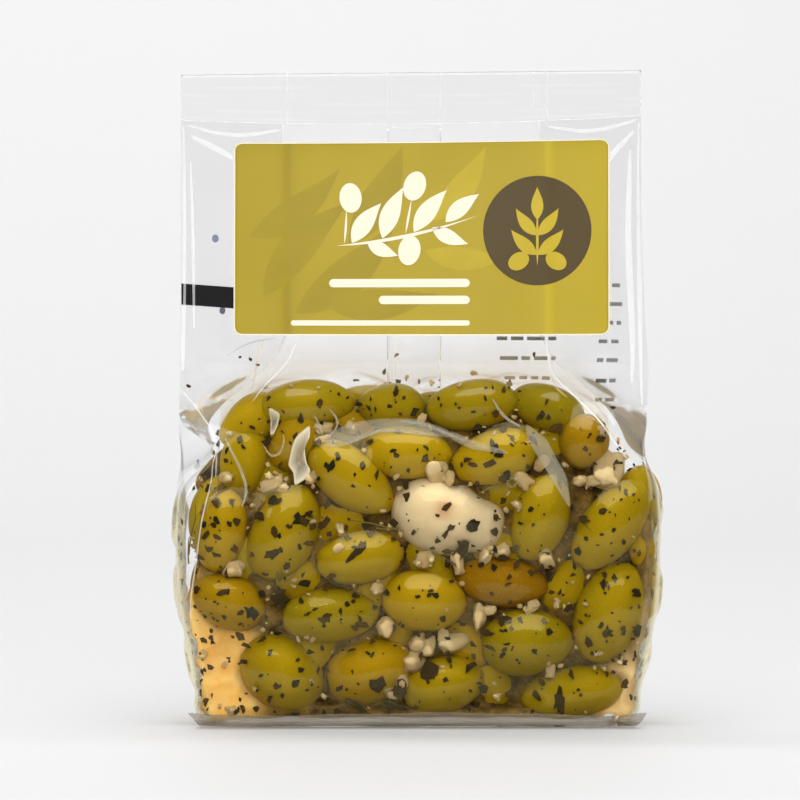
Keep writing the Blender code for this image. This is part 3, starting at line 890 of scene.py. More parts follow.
def make_bottom_seal():
    """The bottom seal, folded forward under the front: pressed layers with a zigzag edge."""
    x = np.linspace(-56.0, 57.6, 569)
    out = np.linspace(0.0, 1.0, 13)
    tooth = np.abs((x / 0.5) % 2 - 1) * 0.4
    length = FIN_LENGTH - 0.5 + tooth + 0.3 * np.sin(x / 9.0)
    rise = FIN_RISE + 0.35 * np.sin(x / 13.0 + 1.0) + 0.15 * np.sin(x / 4.1) + 0.4 * ramp(np.abs(x), 50, 56)
    y = -13.1 - out[:, None] * length[None, :] * 0.985
    crimp = 0.13 * np.sin(out[:, None] * 26) * (out[:, None] > 0.15)
    z = 0.25 + (rise + 0.5 * tooth)[None, :] * out[:, None] ** 1.3 + crimp
    z = z + 0.3 * np.sin(x / 2.9 + 2.0 * np.sin(x / 11.0))[None, :] * np.sin(out[:, None] * math.pi)
    grid_x = np.repeat(x[None, :], out.size, 0) * (1 + 0.05 * out[:, None])
    front = np.stack((grid_x, y, z + 0.1), -1)
    back = np.stack((grid_x, y, z - 0.1), -1)
    store = MeshStore()
    store.add(*slab(front, back))
    material = hazy_material("Bottom seal film", (0.34, 0.27, 0.16), 0.28, 0.5, 0.3)
    return store.build("bottom_seal", material, "bag", sharp=40)


def make_back_seam(settings):
    """The lengthwise seam down the back: a pressed strip that lies flat on the back panel."""
    z = np.linspace(4.0, 158.0, 150)
    x = np.linspace(-7.0, 7.0, 9)
    grid_x, grid_z = np.meshgrid(x, z)
    outer = behind_film("back", grid_x, grid_z, -0.14)
    inner = behind_film("back", grid_x, grid_z, -0.05)
    store = MeshStore()
    store.add(*slab(outer, inner))
    material = film_material("Seam film", 0.14, settings.ripple, settings.sheen * 0.4, 0.025)
    return store.build("back_seam", material, "bag")


def ribbon(store, path, width, side, value=0.0):
    """A slim strip along a path of x and z, on the front or back film or in the bag's middle plane."""
    path = np.asarray(path, float)
    for _ in range(3):
        near, far = path[:-1] * 0.75 + path[1:] * 0.25, path[:-1] * 0.25 + path[1:] * 0.75
        path = np.vstack((path[:1], np.stack((near, far), 1).reshape(-1, 2), path[-1:]))
    steps = np.concatenate(((0.0,), np.cumsum(np.linalg.norm(np.diff(path, axis=0), axis=1))))
    count = max(int(steps[-1] / 0.7), 8)
    along = np.linspace(0, steps[-1], count)
    line = np.stack((np.interp(along, steps, path[:, 0]), np.interp(along, steps, path[:, 1])), -1)
    way = np.gradient(line, axis=0)
    way /= np.maximum(np.linalg.norm(way, axis=1, keepdims=True), 1e-9)
    taper = width / 2 * np.sqrt(np.sin(np.pi * np.linspace(0.03, 0.97, count)))
    across = np.stack((way[:, 1], -way[:, 0]), -1) * taper[:, None]
    share = np.linspace(-1, 1, 4)[:, None, None]
    spots = line[None] + across[None] * share
    x, z = spots[..., 0], spots[..., 1]
    if side == "middle":
        points = np.stack((x, np.zeros_like(x), z), -1)
    else:
        points = behind_film(side, x, z, -0.06)
    store.add(points, grid_faces(4, count), value)


def make_crease_highlights():
    """Pale lines on the film's edges, the gussets' folds and the seam's edges: real creases, with their
    paleness partly a painted highlight.
    """
    store = MeshStore()
    for path, width, side in CREASE_HIGHLIGHTS:
        ribbon(store, path, width, side)
    heights = np.linspace(80.0, 158.0, 30)
    for column, sign in ((LEFT, -1), (RIGHT, 1)):
        fold = station(column, heights) + sign * (station(GUSSET, heights) - 0.3)
        ribbon(store, np.stack((fold, heights), -1), 0.6, "middle")
    material = hazy_material("Crease highlight film", (0.93, 0.93, 0.91), 0.34, 0.75, 0.3)
    return store.build("film_crease_highlights", material, "bag")


def veil_material(name, faint_colour, strong_colour, faint, strong, roughness, pale_share=0.4):
    """A thin film over the contents that hides more, and changes colour, as its value goes from 0 to 1."""
    material, tree, shader = new_material(name)
    mottle = add_mottle(tree, 240.0, 1500.0, 0.4)
    value = tone_value(tree)
    colour = mix_colour(tree, value, faint_colour, strong_colour)
    patches = math_node(tree, "MULTIPLY", mottle["Patches"], pale_share)
    link(tree, mix_colour(tree, patches, colour, (0.9, 0.86, 0.7)), shader.inputs["Base Color"])
    link(tree, mottle["Normal"], shader.inputs["Normal"])
    shader.inputs["Roughness"].default_value = roughness
    see_through(tree, map_range(tree, value, 0.0, 1.0, faint, strong), shader)
    return material


def make_fold_highlights():
    """Painted highlights and painted milky reflections on the folds where the film is pinched over the
    olives.
    """
    store = MeshStore()
    for white, outline in FOLD_HIGHLIGHTS:
        outline = np.asarray(outline, float)
        steps = np.linspace(0, len(outline), 4 * len(outline), endpoint=False)
        closed = np.vstack((outline, outline[:1]))
        rim = np.stack([np.interp(steps, np.arange(len(closed)), closed[:, k]) for k in (0, 1)], -1)
        rim = (np.roll(rim, 1, 0) + 2 * rim + np.roll(rim, -1, 0)) / 4
        middle = rim.mean(0)
        share = np.array((0.0, 0.35, 0.7, 0.92, 1.0))[:, None, None]
        spots = middle + (rim - middle)[None] * share
        x, z = spots[..., 0], spots[..., 1]
        lift = 0.05 + 0.2 * white * (1 - share[..., 0] ** 2)
        points = behind_film("front", x, z, -lift)
        # Each patch's tone is how much painted highlight or painted milky reflection it shows, ring by ring
        # from its middle to its rim.
        from_middle = (0.3, 0.35, 0.7, 1.0, 0.75) if white > 0.8 else (1.0, 1.0, 0.95, 0.7, 0.5)
        tone = white * np.array(from_middle)[:, None] * np.ones_like(x)
        store.add(points, grid_faces(5, len(rim), closed=True, flip=True), tone.reshape(-1))
    for path, width in FOLD_LOOP_HIGHLIGHTS:
        ribbon(store, path, width, "front", 0.38)
    material = veil_material("Fold highlight film", (0.26, 0.24, 0.16), (0.78, 0.7, 0.47), 0.2, 0.72, 0.25)
    return store.build("film_fold_highlights", material, "bag")


def contents_top(x):
    """The height at which the oil meets the air behind the front film, rounded over the olives' gaps."""
    fine = np.arange(-64.0, 64.01, 0.5)
    top = np.full(fine.size, 30.0)
    for cx, cz, length, width, angle, _, _ in FRONT_LAYER:
        a = math.radians(angle)
        half = math.hypot(length / 2 * math.cos(a), width / 2 * math.sin(a))
        slope = (length**2 - width**2) / 4 * math.sin(a) * math.cos(a) / half**2
        across = (fine - cx) / half
        high = length * width / 4 / half * np.sqrt(np.maximum(1 - across**2, 0)) + slope * (fine - cx) + cz
        top = np.where(np.abs(across) < 1, np.maximum(top, high), top)
    reach_over = np.arange(-10, 11)
    ball = np.sqrt(5.2**2 - (reach_over * 0.5) ** 2)
    padded = np.pad(top, 10, mode="edge")
    over = np.max([padded[10 + k : 10 + k + top.size] + b for k, b in zip(reach_over, ball)], axis=0)
    padded = np.pad(over, 10, mode="edge")
    level = np.min([padded[10 + k : 10 + k + top.size] - b for k, b in zip(reach_over, ball)], axis=0)
    return np.interp(x, fine, level)


def make_oil_line():
    """The brown line of oil along the top of the contents, and the warm tint it leaves on the film above."""
    store = MeshStore()
    for side, sign in (("front", 1.0), ("back", -1.0)):
        x = np.linspace(-55.0, 55.0, 221)
        rows = np.array((-0.7, 0.0, 0.4, 0.8, 1.5, 3.2, 6.5, 11.0))[:, None]
        patchy = 0.55 + 0.45 * np.sin(x / 3.1 + 1.5 * np.sin(x / 8.3))[None, :]
        value = np.array((0.15, 0.5, 0.65, 0.2, 0.0, 0.0, 0.0, 0.0))[:, None] * patchy
        value = value + np.array((0.0, 0.0, 0.0, 0.15, 0.26, 0.2, 0.1, 0.0))[:, None]
        level = contents_top(x * sign)[None, :] + 0.35
        level = level + 0.25 * np.sin(x / 2.3)[None, :] * np.sin(x / 7.1)[None, :]
        z = level + rows
        points = behind_film(side, x[None, :], z, 0.07)
        faces = grid_faces(len(rows), x.size, flip=side == "back")
        fade = ramp(55.0 - np.abs(x), 0.0, 4.0)[None, :]
        store.add(points, faces, (value * fade).reshape(-1))
    for path, width, strength in OIL_RUNS:
        ribbon(store, path, width, "front", strength)
    material = veil_material("Oil on the film", (0.96, 0.78, 0.42), (0.42, 0.22, 0.03), 0.0, 0.75, 0.2, 0.05)
    return store.build("oil_line", material, "bag")


def plain_material(name, colour, roughness, patch_size=120.0, bump=0.05, depth=0.12):
    """A printed or coloured surface with faint patches, a shade darker and lighter."""
    material, tree, shader = new_material(name)
    mottle = add_mottle(tree, patch_size, 1500.0, bump)
    dark = [c * (1 - depth) for c in colour]
    light = [min(c * (1 + depth), 1.0) for c in colour]
    link(tree, mix_colour(tree, mottle["Patches"], dark, light), shader.inputs["Base Color"])
    link(tree, mottle["Normal"], shader.inputs["Normal"])
    shader.inputs["Roughness"].default_value = roughness
    return material


def make_film_print():
    """The black bar printed on the front film at the left, and the grey lines and blue dots on the back."""
    store = MeshStore()
    x = np.linspace(-61.0, -44.0, 30)
    z = np.linspace(0.0, 5.6, 9)
    grid_x, grid_z = np.meshgrid(x, z)
    grid_z = 110.2 + grid_z - 0.07 * (grid_x + 61.0)
    y = front_y(grid_x, grid_z) + headspace_relief(grid_x, grid_z) - 0.03
    store.add(level_top(np.stack((grid_x, y, grid_z), -1)), grid_faces(9, 30))
    material = plain_material("Black bar ink", (0.012, 0.012, 0.013), 0.25)
    bar = store.build("black_bar", material, "bag")
    lines = MeshStore()
    rng = random.Random(8)
    for height, start, stop, tall in BACK_LINES:
        x = start
        while x < stop - 0.8:
            end = min(x + rng.uniform(1.6, 5.0), stop)
            grid_x, grid_z = np.meshgrid(np.linspace(x, end, 9), np.linspace(height, height + tall, 4))
            lines.add(behind_film("back", grid_x, grid_z, -0.02), grid_faces(4, 9))
            x = end + rng.uniform(0.7, 1.1)
    ink = plain_material("Grey line ink", (0.5, 0.5, 0.51), 0.5)
    dots = MeshStore()
    turn = np.linspace(0, 2 * math.pi, 20, endpoint=False)
    for x, z, radius in ((-52.2, 127.6, 0.9), (-50.4, 108.4, 0.8)):
        share = np.array((0.05, 0.6, 1.0))[:, None]
        grid_x, grid_z = x + radius * share * np.cos(turn), z + 1.2 * radius * share * np.sin(turn)
        dots.add(behind_film("back", grid_x, grid_z, -0.02), grid_faces(3, 20, closed=True))
    blue = plain_material("Blue dot ink", (0.42, 0.45, 0.64), 0.5)
    return bar, lines.build("back_lines", ink, "bag"), dots.build("back_dots", blue, "bag")


def label_points(u, v, lift):
    """Points on the label's face: u and v from its lower left corner, lift in front of it."""
    x = LABEL_CENTRE_X - LABEL_WIDTH / 2 + np.asarray(u, float)
    z = LABEL_BOTTOM + np.asarray(v, float)
    y = front_y(x, z) + headspace_relief(x, z) - LABEL_LIFT - lift
    return level_top(np.stack((x, y, z), -1))


def make_label(settings):
    """The label's yellow field: a thin sheet on the front film with rounded corners."""
    inner = np.linspace(LABEL_CORNER, LABEL_HEIGHT - LABEL_CORNER, 41)
    corner = LABEL_CORNER * (1 - np.cos(np.linspace(0, math.pi / 2, 7)[:-1]))
    levels = np.concatenate((corner, inner, LABEL_HEIGHT - corner[::-1]))
    rim = np.maximum(LABEL_CORNER - np.minimum(levels, LABEL_HEIGHT - levels), 0.0)
    half = LABEL_WIDTH / 2 - LABEL_CORNER + np.sqrt(np.maximum(LABEL_CORNER**2 - rim**2, 0))
    u = LABEL_WIDTH / 2 + half[:, None] * np.linspace(-1, 1, 91)[None, :]
    v = np.repeat(levels[:, None], 91, 1)
    store = MeshStore()
    x = u + LABEL_CENTRE_X - LABEL_WIDTH / 2
    # Painted shade and highlight: the field is darker at the left, darker still in a narrow band over the
    # left fold, and lighter at the right with a bright band over the right fold.
    shade = 0.45 + 0.22 * ramp(x, 20.0, 44.0) - 0.12 * ramp(-x, 24.0, 33.0)
    shade = shade - 0.4 * np.exp(-(((x + 33.2) / 1.1) ** 2)) + 0.4 * np.exp(-(((x - 35.2) / 1.0) ** 2))
    verts, faces = slab(label_points(u, v, LABEL_THICKNESS), label_points(u, v, 0.0))
    store.add(verts, faces, np.tile(np.clip(shade, 0, 1).reshape(-1), 2), np.repeat((0.0, 1.0), u.size))
    material, tree, shader = new_material("Label field")
    mottle = add_mottle(tree, 45.0, 1500.0, 0.04)
    dark = [c * 0.74 for c in settings.field]
    light = [min(c * 1.22, 1.0) for c in settings.field]
    # The painted shade and highlight, with a little grain, carry the field from its dark to its light
    # mustard.
    shift = math_node(tree, "MULTIPLY", math_node(tree, "SUBTRACT", mottle["Patches"], 0.5), 0.3)
    shade_and_grain = math_node(tree, "ADD", tone_value(tree), shift)
    face = mix_colour(tree, shade_and_grain, dark, light)
    reverse = tone_value(tree, "mark")
    link(tree, mix_colour(tree, reverse, face, (0.7, 0.68, 0.6)), shader.inputs["Base Color"])
    # Painted glow: the reverse emits a faint light, standing in for light from the front that would shine
    # through the label.
    through = mix_colour(tree, reverse, (0.0, 0.0, 0.0), (0.72, 0.66, 0.44))
    link(tree, through, shader.inputs["Emission Color"])
    shader.inputs["Emission Strength"].default_value = 0.34
    link(tree, mottle["Normal"], shader.inputs["Normal"])
    shader.inputs["Roughness"].default_value = 0.38
    return store.build("label_field", material, "label")


def leaf_patch(store, base_u, base_v, length, width, angle, bend, lift):
    """A printed leaf: pointed at both ends, on a spine that bends."""
    t = np.linspace(0.0, 1.0, 41)
    heading = math.radians(angle) + bend * t
    step = length / 40
    spine_u = base_u + np.concatenate(((0,), np.cumsum(np.cos(heading[:-1])))) * step
    spine_v = base_v + np.concatenate(((0,), np.cumsum(np.sin(heading[:-1])))) * step
    half = width / 2 * np.sin(math.pi * t**0.8) ** 1.1
    across = np.linspace(-1, 1, 13)
    u = spine_u[:, None] - np.sin(heading)[:, None] * half[:, None] * across[None, :]
    v = spine_v[:, None] + np.cos(heading)[:, None] * half[:, None] * across[None, :]
    u = np.clip(u, 1.2, LABEL_WIDTH - 1.2)
    v = np.clip(v, 1.2, LABEL_HEIGHT - 1.2)
    store.add(label_points(u, v, lift), grid_faces(41, 13, flip=True))


def round_patch(store, u, v, radius_long, radius_short, angle, lift, inner=0.0):
    """A printed ellipse or ring."""
    turn = np.linspace(0, 2 * math.pi, 72, endpoint=False)
    share = np.linspace(inner, 1.0, 4 if inner else 9)
    a = math.radians(angle)
    long_side = radius_long * share[:, None] * np.cos(turn)[None, :]
    short_side = radius_short * share[:, None] * np.sin(turn)[None, :]
    grid_u = u + long_side * math.cos(a) - short_side * math.sin(a)
    grid_v = v + long_side * math.sin(a) + short_side * math.cos(a)
    store.add(label_points(grid_u, grid_v, lift), grid_faces(len(share), 72, closed=True, flip=True))


def bar_patch(store, u0, u1, v0, v1, lift):
    """A printed bar with rounded ends."""
    radius = (v1 - v0) / 2
    turn = np.linspace(-math.pi / 2, math.pi / 2, 9)
    left = u0 + radius * (1 - np.cos(turn))
    right = u1 - radius * (1 - np.cos(turn))
    v = (v0 + v1) / 2 + radius * np.sin(turn)
    share = np.linspace(0, 1, 20)[None, :]
    grid_u = left[:, None] * (1 - share) + right[:, None] * share
    store.add(label_points(grid_u, np.repeat(v[:, None], 20, 1), lift), grid_faces(9, 20))


def make_label_print(settings):
    """The print on the label: border line, leaves, a cream sprig and bars, and a round motif."""
    face = LABEL_THICKNESS
    cream = MeshStore()
    dark = MeshStore()
    tint = MeshStore()
    shade = MeshStore()
    yellow = MeshStore()
    big_leaves = ((8, 10, 34, 9, 62, -0.5), (16, 6, 36, 10, 28, 0.5), (4, 26, 30, 8, 20, 0.6))
    big_leaves += ((30, 24, 30, 9, 50, 0.4), (24, 8, 30, 8, -4, 0.35))
    for k, leaf in enumerate(big_leaves):
        leaf_patch(tint, *leaf, face + PRINT_LIFT * (0.3 + 0.14 * k))
    for base_u, base_v, length, width, angle, bend in ((52, 30, 24, 7, 40, 0.5), (50, 22, 22, 6, -18, 0.5)):
        leaf_patch(shade, base_u, base_v, length, width, angle, bend, face + PRINT_LIFT)
    border_u = np.array((0.2, LABEL_WIDTH - 0.2))
    border_v = np.array((0.2, LABEL_HEIGHT - 0.2))
    reach_in = LABEL_CORNER - 0.2
    path = []
    for cu, cv, start in (
        (border_u[1] - reach_in, border_v[1] - reach_in, 0),
        (border_u[0] + reach_in, border_v[1] - reach_in, 90),
        (border_u[0] + reach_in, border_v[0] + reach_in, 180),
        (border_u[1] - reach_in, border_v[0] + reach_in, 270),
    ):
        for angle in np.radians(np.linspace(start, start + 90, 8)):
            path.append((cu + reach_in * math.cos(angle), cv + reach_in * math.sin(angle)))
    path = np.array(path + path[:1])
    steps = np.concatenate(((0,), np.cumsum(np.linalg.norm(np.diff(path, axis=0), axis=1))))
    along = np.linspace(0, steps[-1], 320, endpoint=False)
    line = np.stack((np.interp(along, steps, path[:, 0]), np.interp(along, steps, path[:, 1])), -1)
    way = np.roll(line, -1, 0) - np.roll(line, 1, 0)
    way /= np.linalg.norm(way, axis=1, keepdims=True)
    side = np.stack((-way[:, 1], way[:, 0]), -1) * 0.18
    rows = np.stack((line - side, line + side))
    border = label_points(rows[..., 0], rows[..., 1], face + 2 * PRINT_LIFT)
    cream.add(border, grid_faces(2, 320, closed=True))
    sprig = ((27.0, 23.5, 38.0, 0.9, 4, 0.28), (31.0, 24.2, 13.0, 4.8, 62, -0.3))
    sprig += ((39.0, 25.4, 14.5, 5.0, 76, -0.3), (47.2, 27.0, 14.0, 4.8, 60, -0.3))
    sprig += ((55.5, 29.5, 11.5, 4.2, 48, -0.3), (35.0, 24.6, 9.0, 3.6, -36, 0.4))
    sprig += ((52.0, 28.2, 10.5, 3.8, -36, 0.4), (45.0, 26.6, 9.5, 0.6, 80, 0.0))
    sprig += ((29.0, 24.0, 9.5, 0.6, 84, 0.1),)
    for k, leaf in enumerate(sprig):
        leaf_patch(cream, *leaf, face + PRINT_LIFT * (2 + 0.6 * (k % 3)))
    for u, v, turn in ((47.4, 39.0, 72), (30.6, 36.0, 96), (46.0, 22.2, 80)):
        round_patch(cream, u, v, 3.9, 2.9, turn, face + PRINT_LIFT * 3.8)
    for u0, v0, height in ((25.0, 12.6, 2.2), (38.0, 8.2, 2.2), (15.0, 2.6, 1.4)):
        bar_patch(cream, u0, 61.8, v0, v0 + height, face + 2 * PRINT_LIFT)
    round_patch(dark, 79.5, 27.2, 14.2, 14.2, 0, face + 2 * PRINT_LIFT)
    motif = ((79.5, 18.0, 16.0, 0.7, 90, 0.0), (79.5, 21.0, 9.5, 3.4, 148, -0.4))
    motif += ((79.5, 21.0, 9.5, 3.4, 32, 0.4), (79.5, 26.0, 9.0, 3.2, 140, -0.4))
    motif += ((79.5, 26.0, 9.0, 3.2, 40, 0.4), (79.5, 30.0, 8.5, 3.2, 90, 0.0))
    for k, leaf in enumerate(motif):
        leaf_patch(yellow, *leaf, face + PRINT_LIFT * (3 + 0.6 * (k % 3)))
    for u, turn in ((74.6, 30), (84.4, -30)):
        round_patch(yellow, u, 19.3, 2.9, 2.2, turn, face + PRINT_LIFT * 4.8)
    field = settings.field
    deep, light, bright = ([c * share for c in field] for share in (0.8, 1.1, 1.2))
    tint.build("label_leaves", plain_material("Dark leaf print", deep, 0.38), "label")
    shade.build("label_leaves_pale", plain_material("Pale leaf print", light, 0.38), "label")
    cream.build("label_cream", plain_material("Cream print", settings.cream, 0.4, depth=0.04), "label")
    dark.build("label_disc", plain_material("Dark print", settings.dark, 0.35, depth=0.08), "label")
    yellow.build("label_motif", plain_material("Yellow print", bright, 0.38), "label")


def olive_mesh(store, middle, sizes, axes, tone, seed, steps=26, turns=36):
    """One olive: an uneven egg with a dimple and rim where the stem was, and a small point at the far end."""
    rng = random.Random(seed)
    theta = np.linspace(0.0, math.pi, steps)[:, None]
    phi = np.linspace(0.0, 2 * math.pi, turns, endpoint=False)[None, :]
    egg = rng.uniform(-0.07, 0.07)
    sharp = rng.uniform(0.92, 1.02)
    body = np.sin(theta) ** sharp * (1 + egg * np.cos(theta))
    lean = rng.uniform(0.0, 2 * math.pi)
    dent = 0.0
    for _ in range(4):
        a, b, c = rng.uniform(0.8, 2.4), rng.randint(1, 3), rng.uniform(0, 6.28)
        dent = dent + 0.5 + 0.5 * np.sin(a * theta * 2 + b * phi + c)
    half = sizes - OLIVE_SKIN_GAP
    shrink = 1 - 0.012 * dent
    x = np.cos(theta) * np.ones_like(phi)
    y = body * np.cos(phi)
    z = body * np.sin(phi)
    tip = np.exp(-((theta / 0.22) ** 2)) * 0.02
    scar = np.exp(-(((math.pi - theta) / 0.17) ** 2))
    rim = np.exp(-(((math.pi - theta - 0.27) / 0.09) ** 2))
    x = x * (1 + tip) + scar * 0.09 - rim * 0.012
    local = np.stack((x * half[0] * shrink, y * half[1] * shrink, z * half[2] * shrink), -1)
    bend = 0.25 * (1 - x**2)
    local[..., 1] += bend * math.cos(lean) * 0.5
    local[..., 2] += bend * math.sin(lean) * 0.5
    verts = local @ axes + middle
    mark = np.clip(scar * 1.2 + rim * 0.25, 0, 1) * np.ones_like(phi)
    verts = verts.reshape(-1, 3)
    store.add(verts, grid_faces(steps, turns, closed=True, flip=True), tone, mark.reshape(-1))


def gap_olives(rng):
    """Olives of the second layer, placed where the front and back layers leave the widest gaps."""
    placed = []
    for side, sign in (("front", -1.0), ("back", 1.0)):
        xs, zs = np.meshgrid(np.linspace(-50, 51, 52), np.linspace(8, 82, 38))
        reach_out = np.where(zs < 30, 38, np.where(zs < 58, 60, 40))
        keep = (zs < marinade_level(xs) - 6.0) & (np.abs(xs) < reach_out)
        xs, zs = xs[keep], zs[keep]
        spots = behind_film(side, xs, zs, 8.0)
        room = olive_room(spots)
        for _ in range(GAP_OLIVES):
            best = int(np.argmax(room))
            width, length = rng.uniform(13.0, 15.0), rng.uniform(20.0, 24.0)
            middle = spots[best] - np.array((0.0, sign, 0.0)) * max(width / 2 - 4.5, 0.0)
            axes = turned(rng.uniform(0, 180), rng.uniform(-20, 20))
            placed.append((middle, np.array((length, width, width)) / 2, axes))
            room = np.minimum(room, np.hypot(xs - xs[best], zs - zs[best]) - 11.0)
    shares, zs = np.meshgrid(np.linspace(0.12, 0.88, 16), np.linspace(22, 62, 21))
    shares, zs = shares.reshape(-1), zs.reshape(-1)
    column = column_at("right", shares, zs)
    spots = on_film(column, zs, np.full(zs.shape, 6.5))
    room = olive_room(spots)
    for _ in range(4):
        best = int(np.argmax(room))
        radius = float(np.clip(room[best] + 1.0, 4.0, 6.5))
        middle = on_film(column[best : best + 1], zs[best : best + 1], np.array([radius + 0.5]))[0]
        placed.append((middle, np.array((radius * 1.3, radius, radius)), turned(rng.uniform(60, 120), 0.0)))
        room = np.minimum(room, np.linalg.norm(spots - spots[best], axis=-1) - 11.0)
    return placed


def olive_material(settings):
    """Olive skin: one tone an olive, soft patches, pale freckles and a dark stem scar."""
    material, tree, shader = new_material("Olive skin")
    tone = tone_value(tree)
    scar = tone_value(tree, "mark")
    mottle = add_mottle(tree, 130.0, 1700.0, 0.25)
    shifted = math_node(tree, "ADD", tone, math_node(tree, "MULTIPLY", mottle["Patches"], 0.35))
    to_yellow = map_range(tree, math_node(tree, "SUBTRACT", shifted, 0.17), 0.0, 0.6)
    skin = mix_colour(tree, to_yellow, settings.green, settings.yellow)
    skin = mix_colour(tree, map_range(tree, tone, 0.6, 1.0), skin, settings.amber)
    freckled = mix_colour(tree, math_node(tree, "MULTIPLY", mottle["Speckle"], 0.3), skin, (0.5, 0.38, 0.06))
    marked = mix_colour(tree, math_node(tree, "MULTIPLY", scar, 0.7), freckled, (0.16, 0.07, 0.02))
    link(tree, marked, shader.inputs["Base Color"])
    link(tree, mottle["Normal"], shader.inputs["Normal"])
    soft_food(shader, 0.3, 0.25, (1.0, 0.7, 0.1))
    shader.inputs["Specular Tint"].default_value = (1.0, 0.88, 0.4, 1.0)
    return material


def above_base(middle, sizes, axes):
    """An olive that would reach through the base of the bag, made a little smaller and lifted."""
    foot = middle[2] - np.linalg.norm(axes[:, 2] * sizes)
    if foot >= OLIVE_FOOT:
        return middle, sizes
    return middle + np.array((0.0, 0.0, OLIVE_FOOT - foot)), sizes * 0.95


def make_olives(settings):
    """Every olive: the layers against the film, and a seeded few in the middle that show from above."""
    front = MeshStore()
    inner = MeshStore()
    olives, _ = heap()
    layer = len(FRONT_LAYER)
    for k, (middle, sizes, axes, tone) in enumerate(olives):
        if k >= 2 * layer and (middle[0] < 0 or middle[2] < 30):
            middle = middle - np.array((math.copysign(SIDE_TUCK, middle[0]), 0.0, 0.0))
        elif k >= layer and middle[2] > 70:
            drop = 6.0 if abs(middle[0]) > 30 else 2.5
            middle = middle * np.array((0.9, 1.0, 1.0)) - np.array((0.0, 0.0, drop))
            sizes = sizes * 0.9
        elif k >= layer and middle[0] < -44:
            middle = middle + np.array((SIDE_TUCK, 0.0, 0.0))
            sizes = sizes * 0.92
        middle, sizes = above_base(middle, sizes, axes)
        olive_mesh(front if k < layer else inner, middle, sizes, axes, tone, 100 + k)
    rng = random.Random(MIDDLE_LAYER_SEED)
    for k, (middle, sizes, axes) in enumerate(gap_olives(rng)):
        middle, sizes = above_base(middle, sizes, axes)
        olive_mesh(inner, middle, sizes, axes, rng.uniform(0.15, 0.75), 300 + k, 22, 30)
    material = olive_material(settings)
    return front.build("olives_front", material, "bag"), inner.build("olives_behind", material, "bag")


def marinade_level(x):
    """Height that the marinade and the olives reach at x."""
    return 89.0 - 26.0 * np.abs(np.asarray(x) / 60.0) ** 4.5


def garlic_material(name, cream, tan):
    """Soaked garlic: cream, a little waxy, with tan stains."""
    material, tree, shader = new_material(name)
    mottle = add_mottle(tree, 190.0, 900.0, 0.2)
    stain = map_range(tree, mottle["Patches"], 0.52, 0.75)
    worn = math_node(tree, "MAXIMUM", math_node(tree, "MULTIPLY", stain, 0.25), tone_value(tree))
    colour = mix_colour(tree, worn, cream, tan)
    link(tree, colour, shader.inputs["Base Color"])
    link(tree, mottle["Normal"], shader.inputs["Normal"])
    soft_food(shader, 0.35, 0.35, (1.0, 0.75, 0.4))
    return material


def clove_mesh(store, middle, sizes, axes):
    """The whole clove: plump at the left, with flats along it, drawn to a blunt root end at the right."""
    theta = np.linspace(0.0, math.pi, 60)[:, None]
    phi = np.linspace(0.0, 2 * math.pi, 72, endpoint=False)[None, :]
    along = np.cos(theta)
    oval = np.sin(theta) ** 0.9 * (1 - 0.05 * along)
    blunt = 0.7 * (1 - np.abs(along) ** 7) ** (1 / 3)
    upright = oval + (np.maximum(blunt, oval * 0.8) - oval) * ramp(along, -0.1, 0.75)
    flats = 1 - 0.04 * np.maximum(np.cos(phi * 3 + 0.6), 0) - 0.02 * np.maximum(np.cos(phi * 2 - 0.5), 0)
    notch = 1 - 0.16 * np.exp(-(((along + 0.05) / 0.13) ** 2)) * np.maximum(np.sin(phi), 0) ** 3
    half = sizes - OLIVE_SKIN_GAP
    wide = oval * flats * np.cos(phi) * half[1]
    tall = upright * flats * notch * np.sin(phi) * half[2]
    local = np.stack((along * half[0] * np.ones_like(phi), wide, tall), -1)
    stain = np.exp(-(((along + 0.1) / 0.16) ** 2)) * np.exp(-(((np.sin(phi) - 0.24) / 0.26) ** 2))
    stain = stain * (np.cos(phi) < 0) * 0.75
    store.add(local @ axes + middle, grid_faces(60, 72, closed=True, flip=True), stain.reshape(-1))


def chunk_mesh(store, middle, size, rng, detail=4):
    """A chopped piece of garlic: a cut block with worn corners and uneven sides."""
    bm = bmesh.new()
    bmesh.ops.create_cube(bm, size=1.0)
    bmesh.ops.subdivide_edges(bm, edges=bm.edges, cuts=detail, use_grid_fill=True)
    shift = Vector((rng.uniform(0, 50), rng.uniform(0, 50), rng.uniform(0, 50)))
    stretch = np.array((rng.uniform(0.95, 1.45), rng.uniform(0.6, 0.9), rng.uniform(0.6, 0.9)))
    turn = turned(rng.uniform(0, 180), rng.uniform(-50, 50))
    for vert in bm.verts:
        ball = vert.co.normalized() * 0.56
        vert.co = vert.co.lerp(ball, 0.82) * (1 + 0.42 * noise.noise(vert.co * 2.1 + shift))
    verts = np.array([vert.co[:] for vert in bm.verts]) * stretch * size
    faces = [[vert.index for vert in face.verts] for face in bm.faces]
    bm.free()
    store.add(verts @ turn + middle, faces, rng.uniform(0.0, 0.35))


def roomiest(rng, side, x, z, spread, inset, tries=24):
    """The freest of some places near x and z, at a distance inside the film."""
    xs = np.array([x + rng.uniform(-spread, spread) for _ in range(tries)])
    zs = np.array([z + rng.uniform(-spread, spread) for _ in range(tries)])
    places = behind_film(side, xs, zs, inset)
    return places[int(np.argmax(olive_room(places)))]


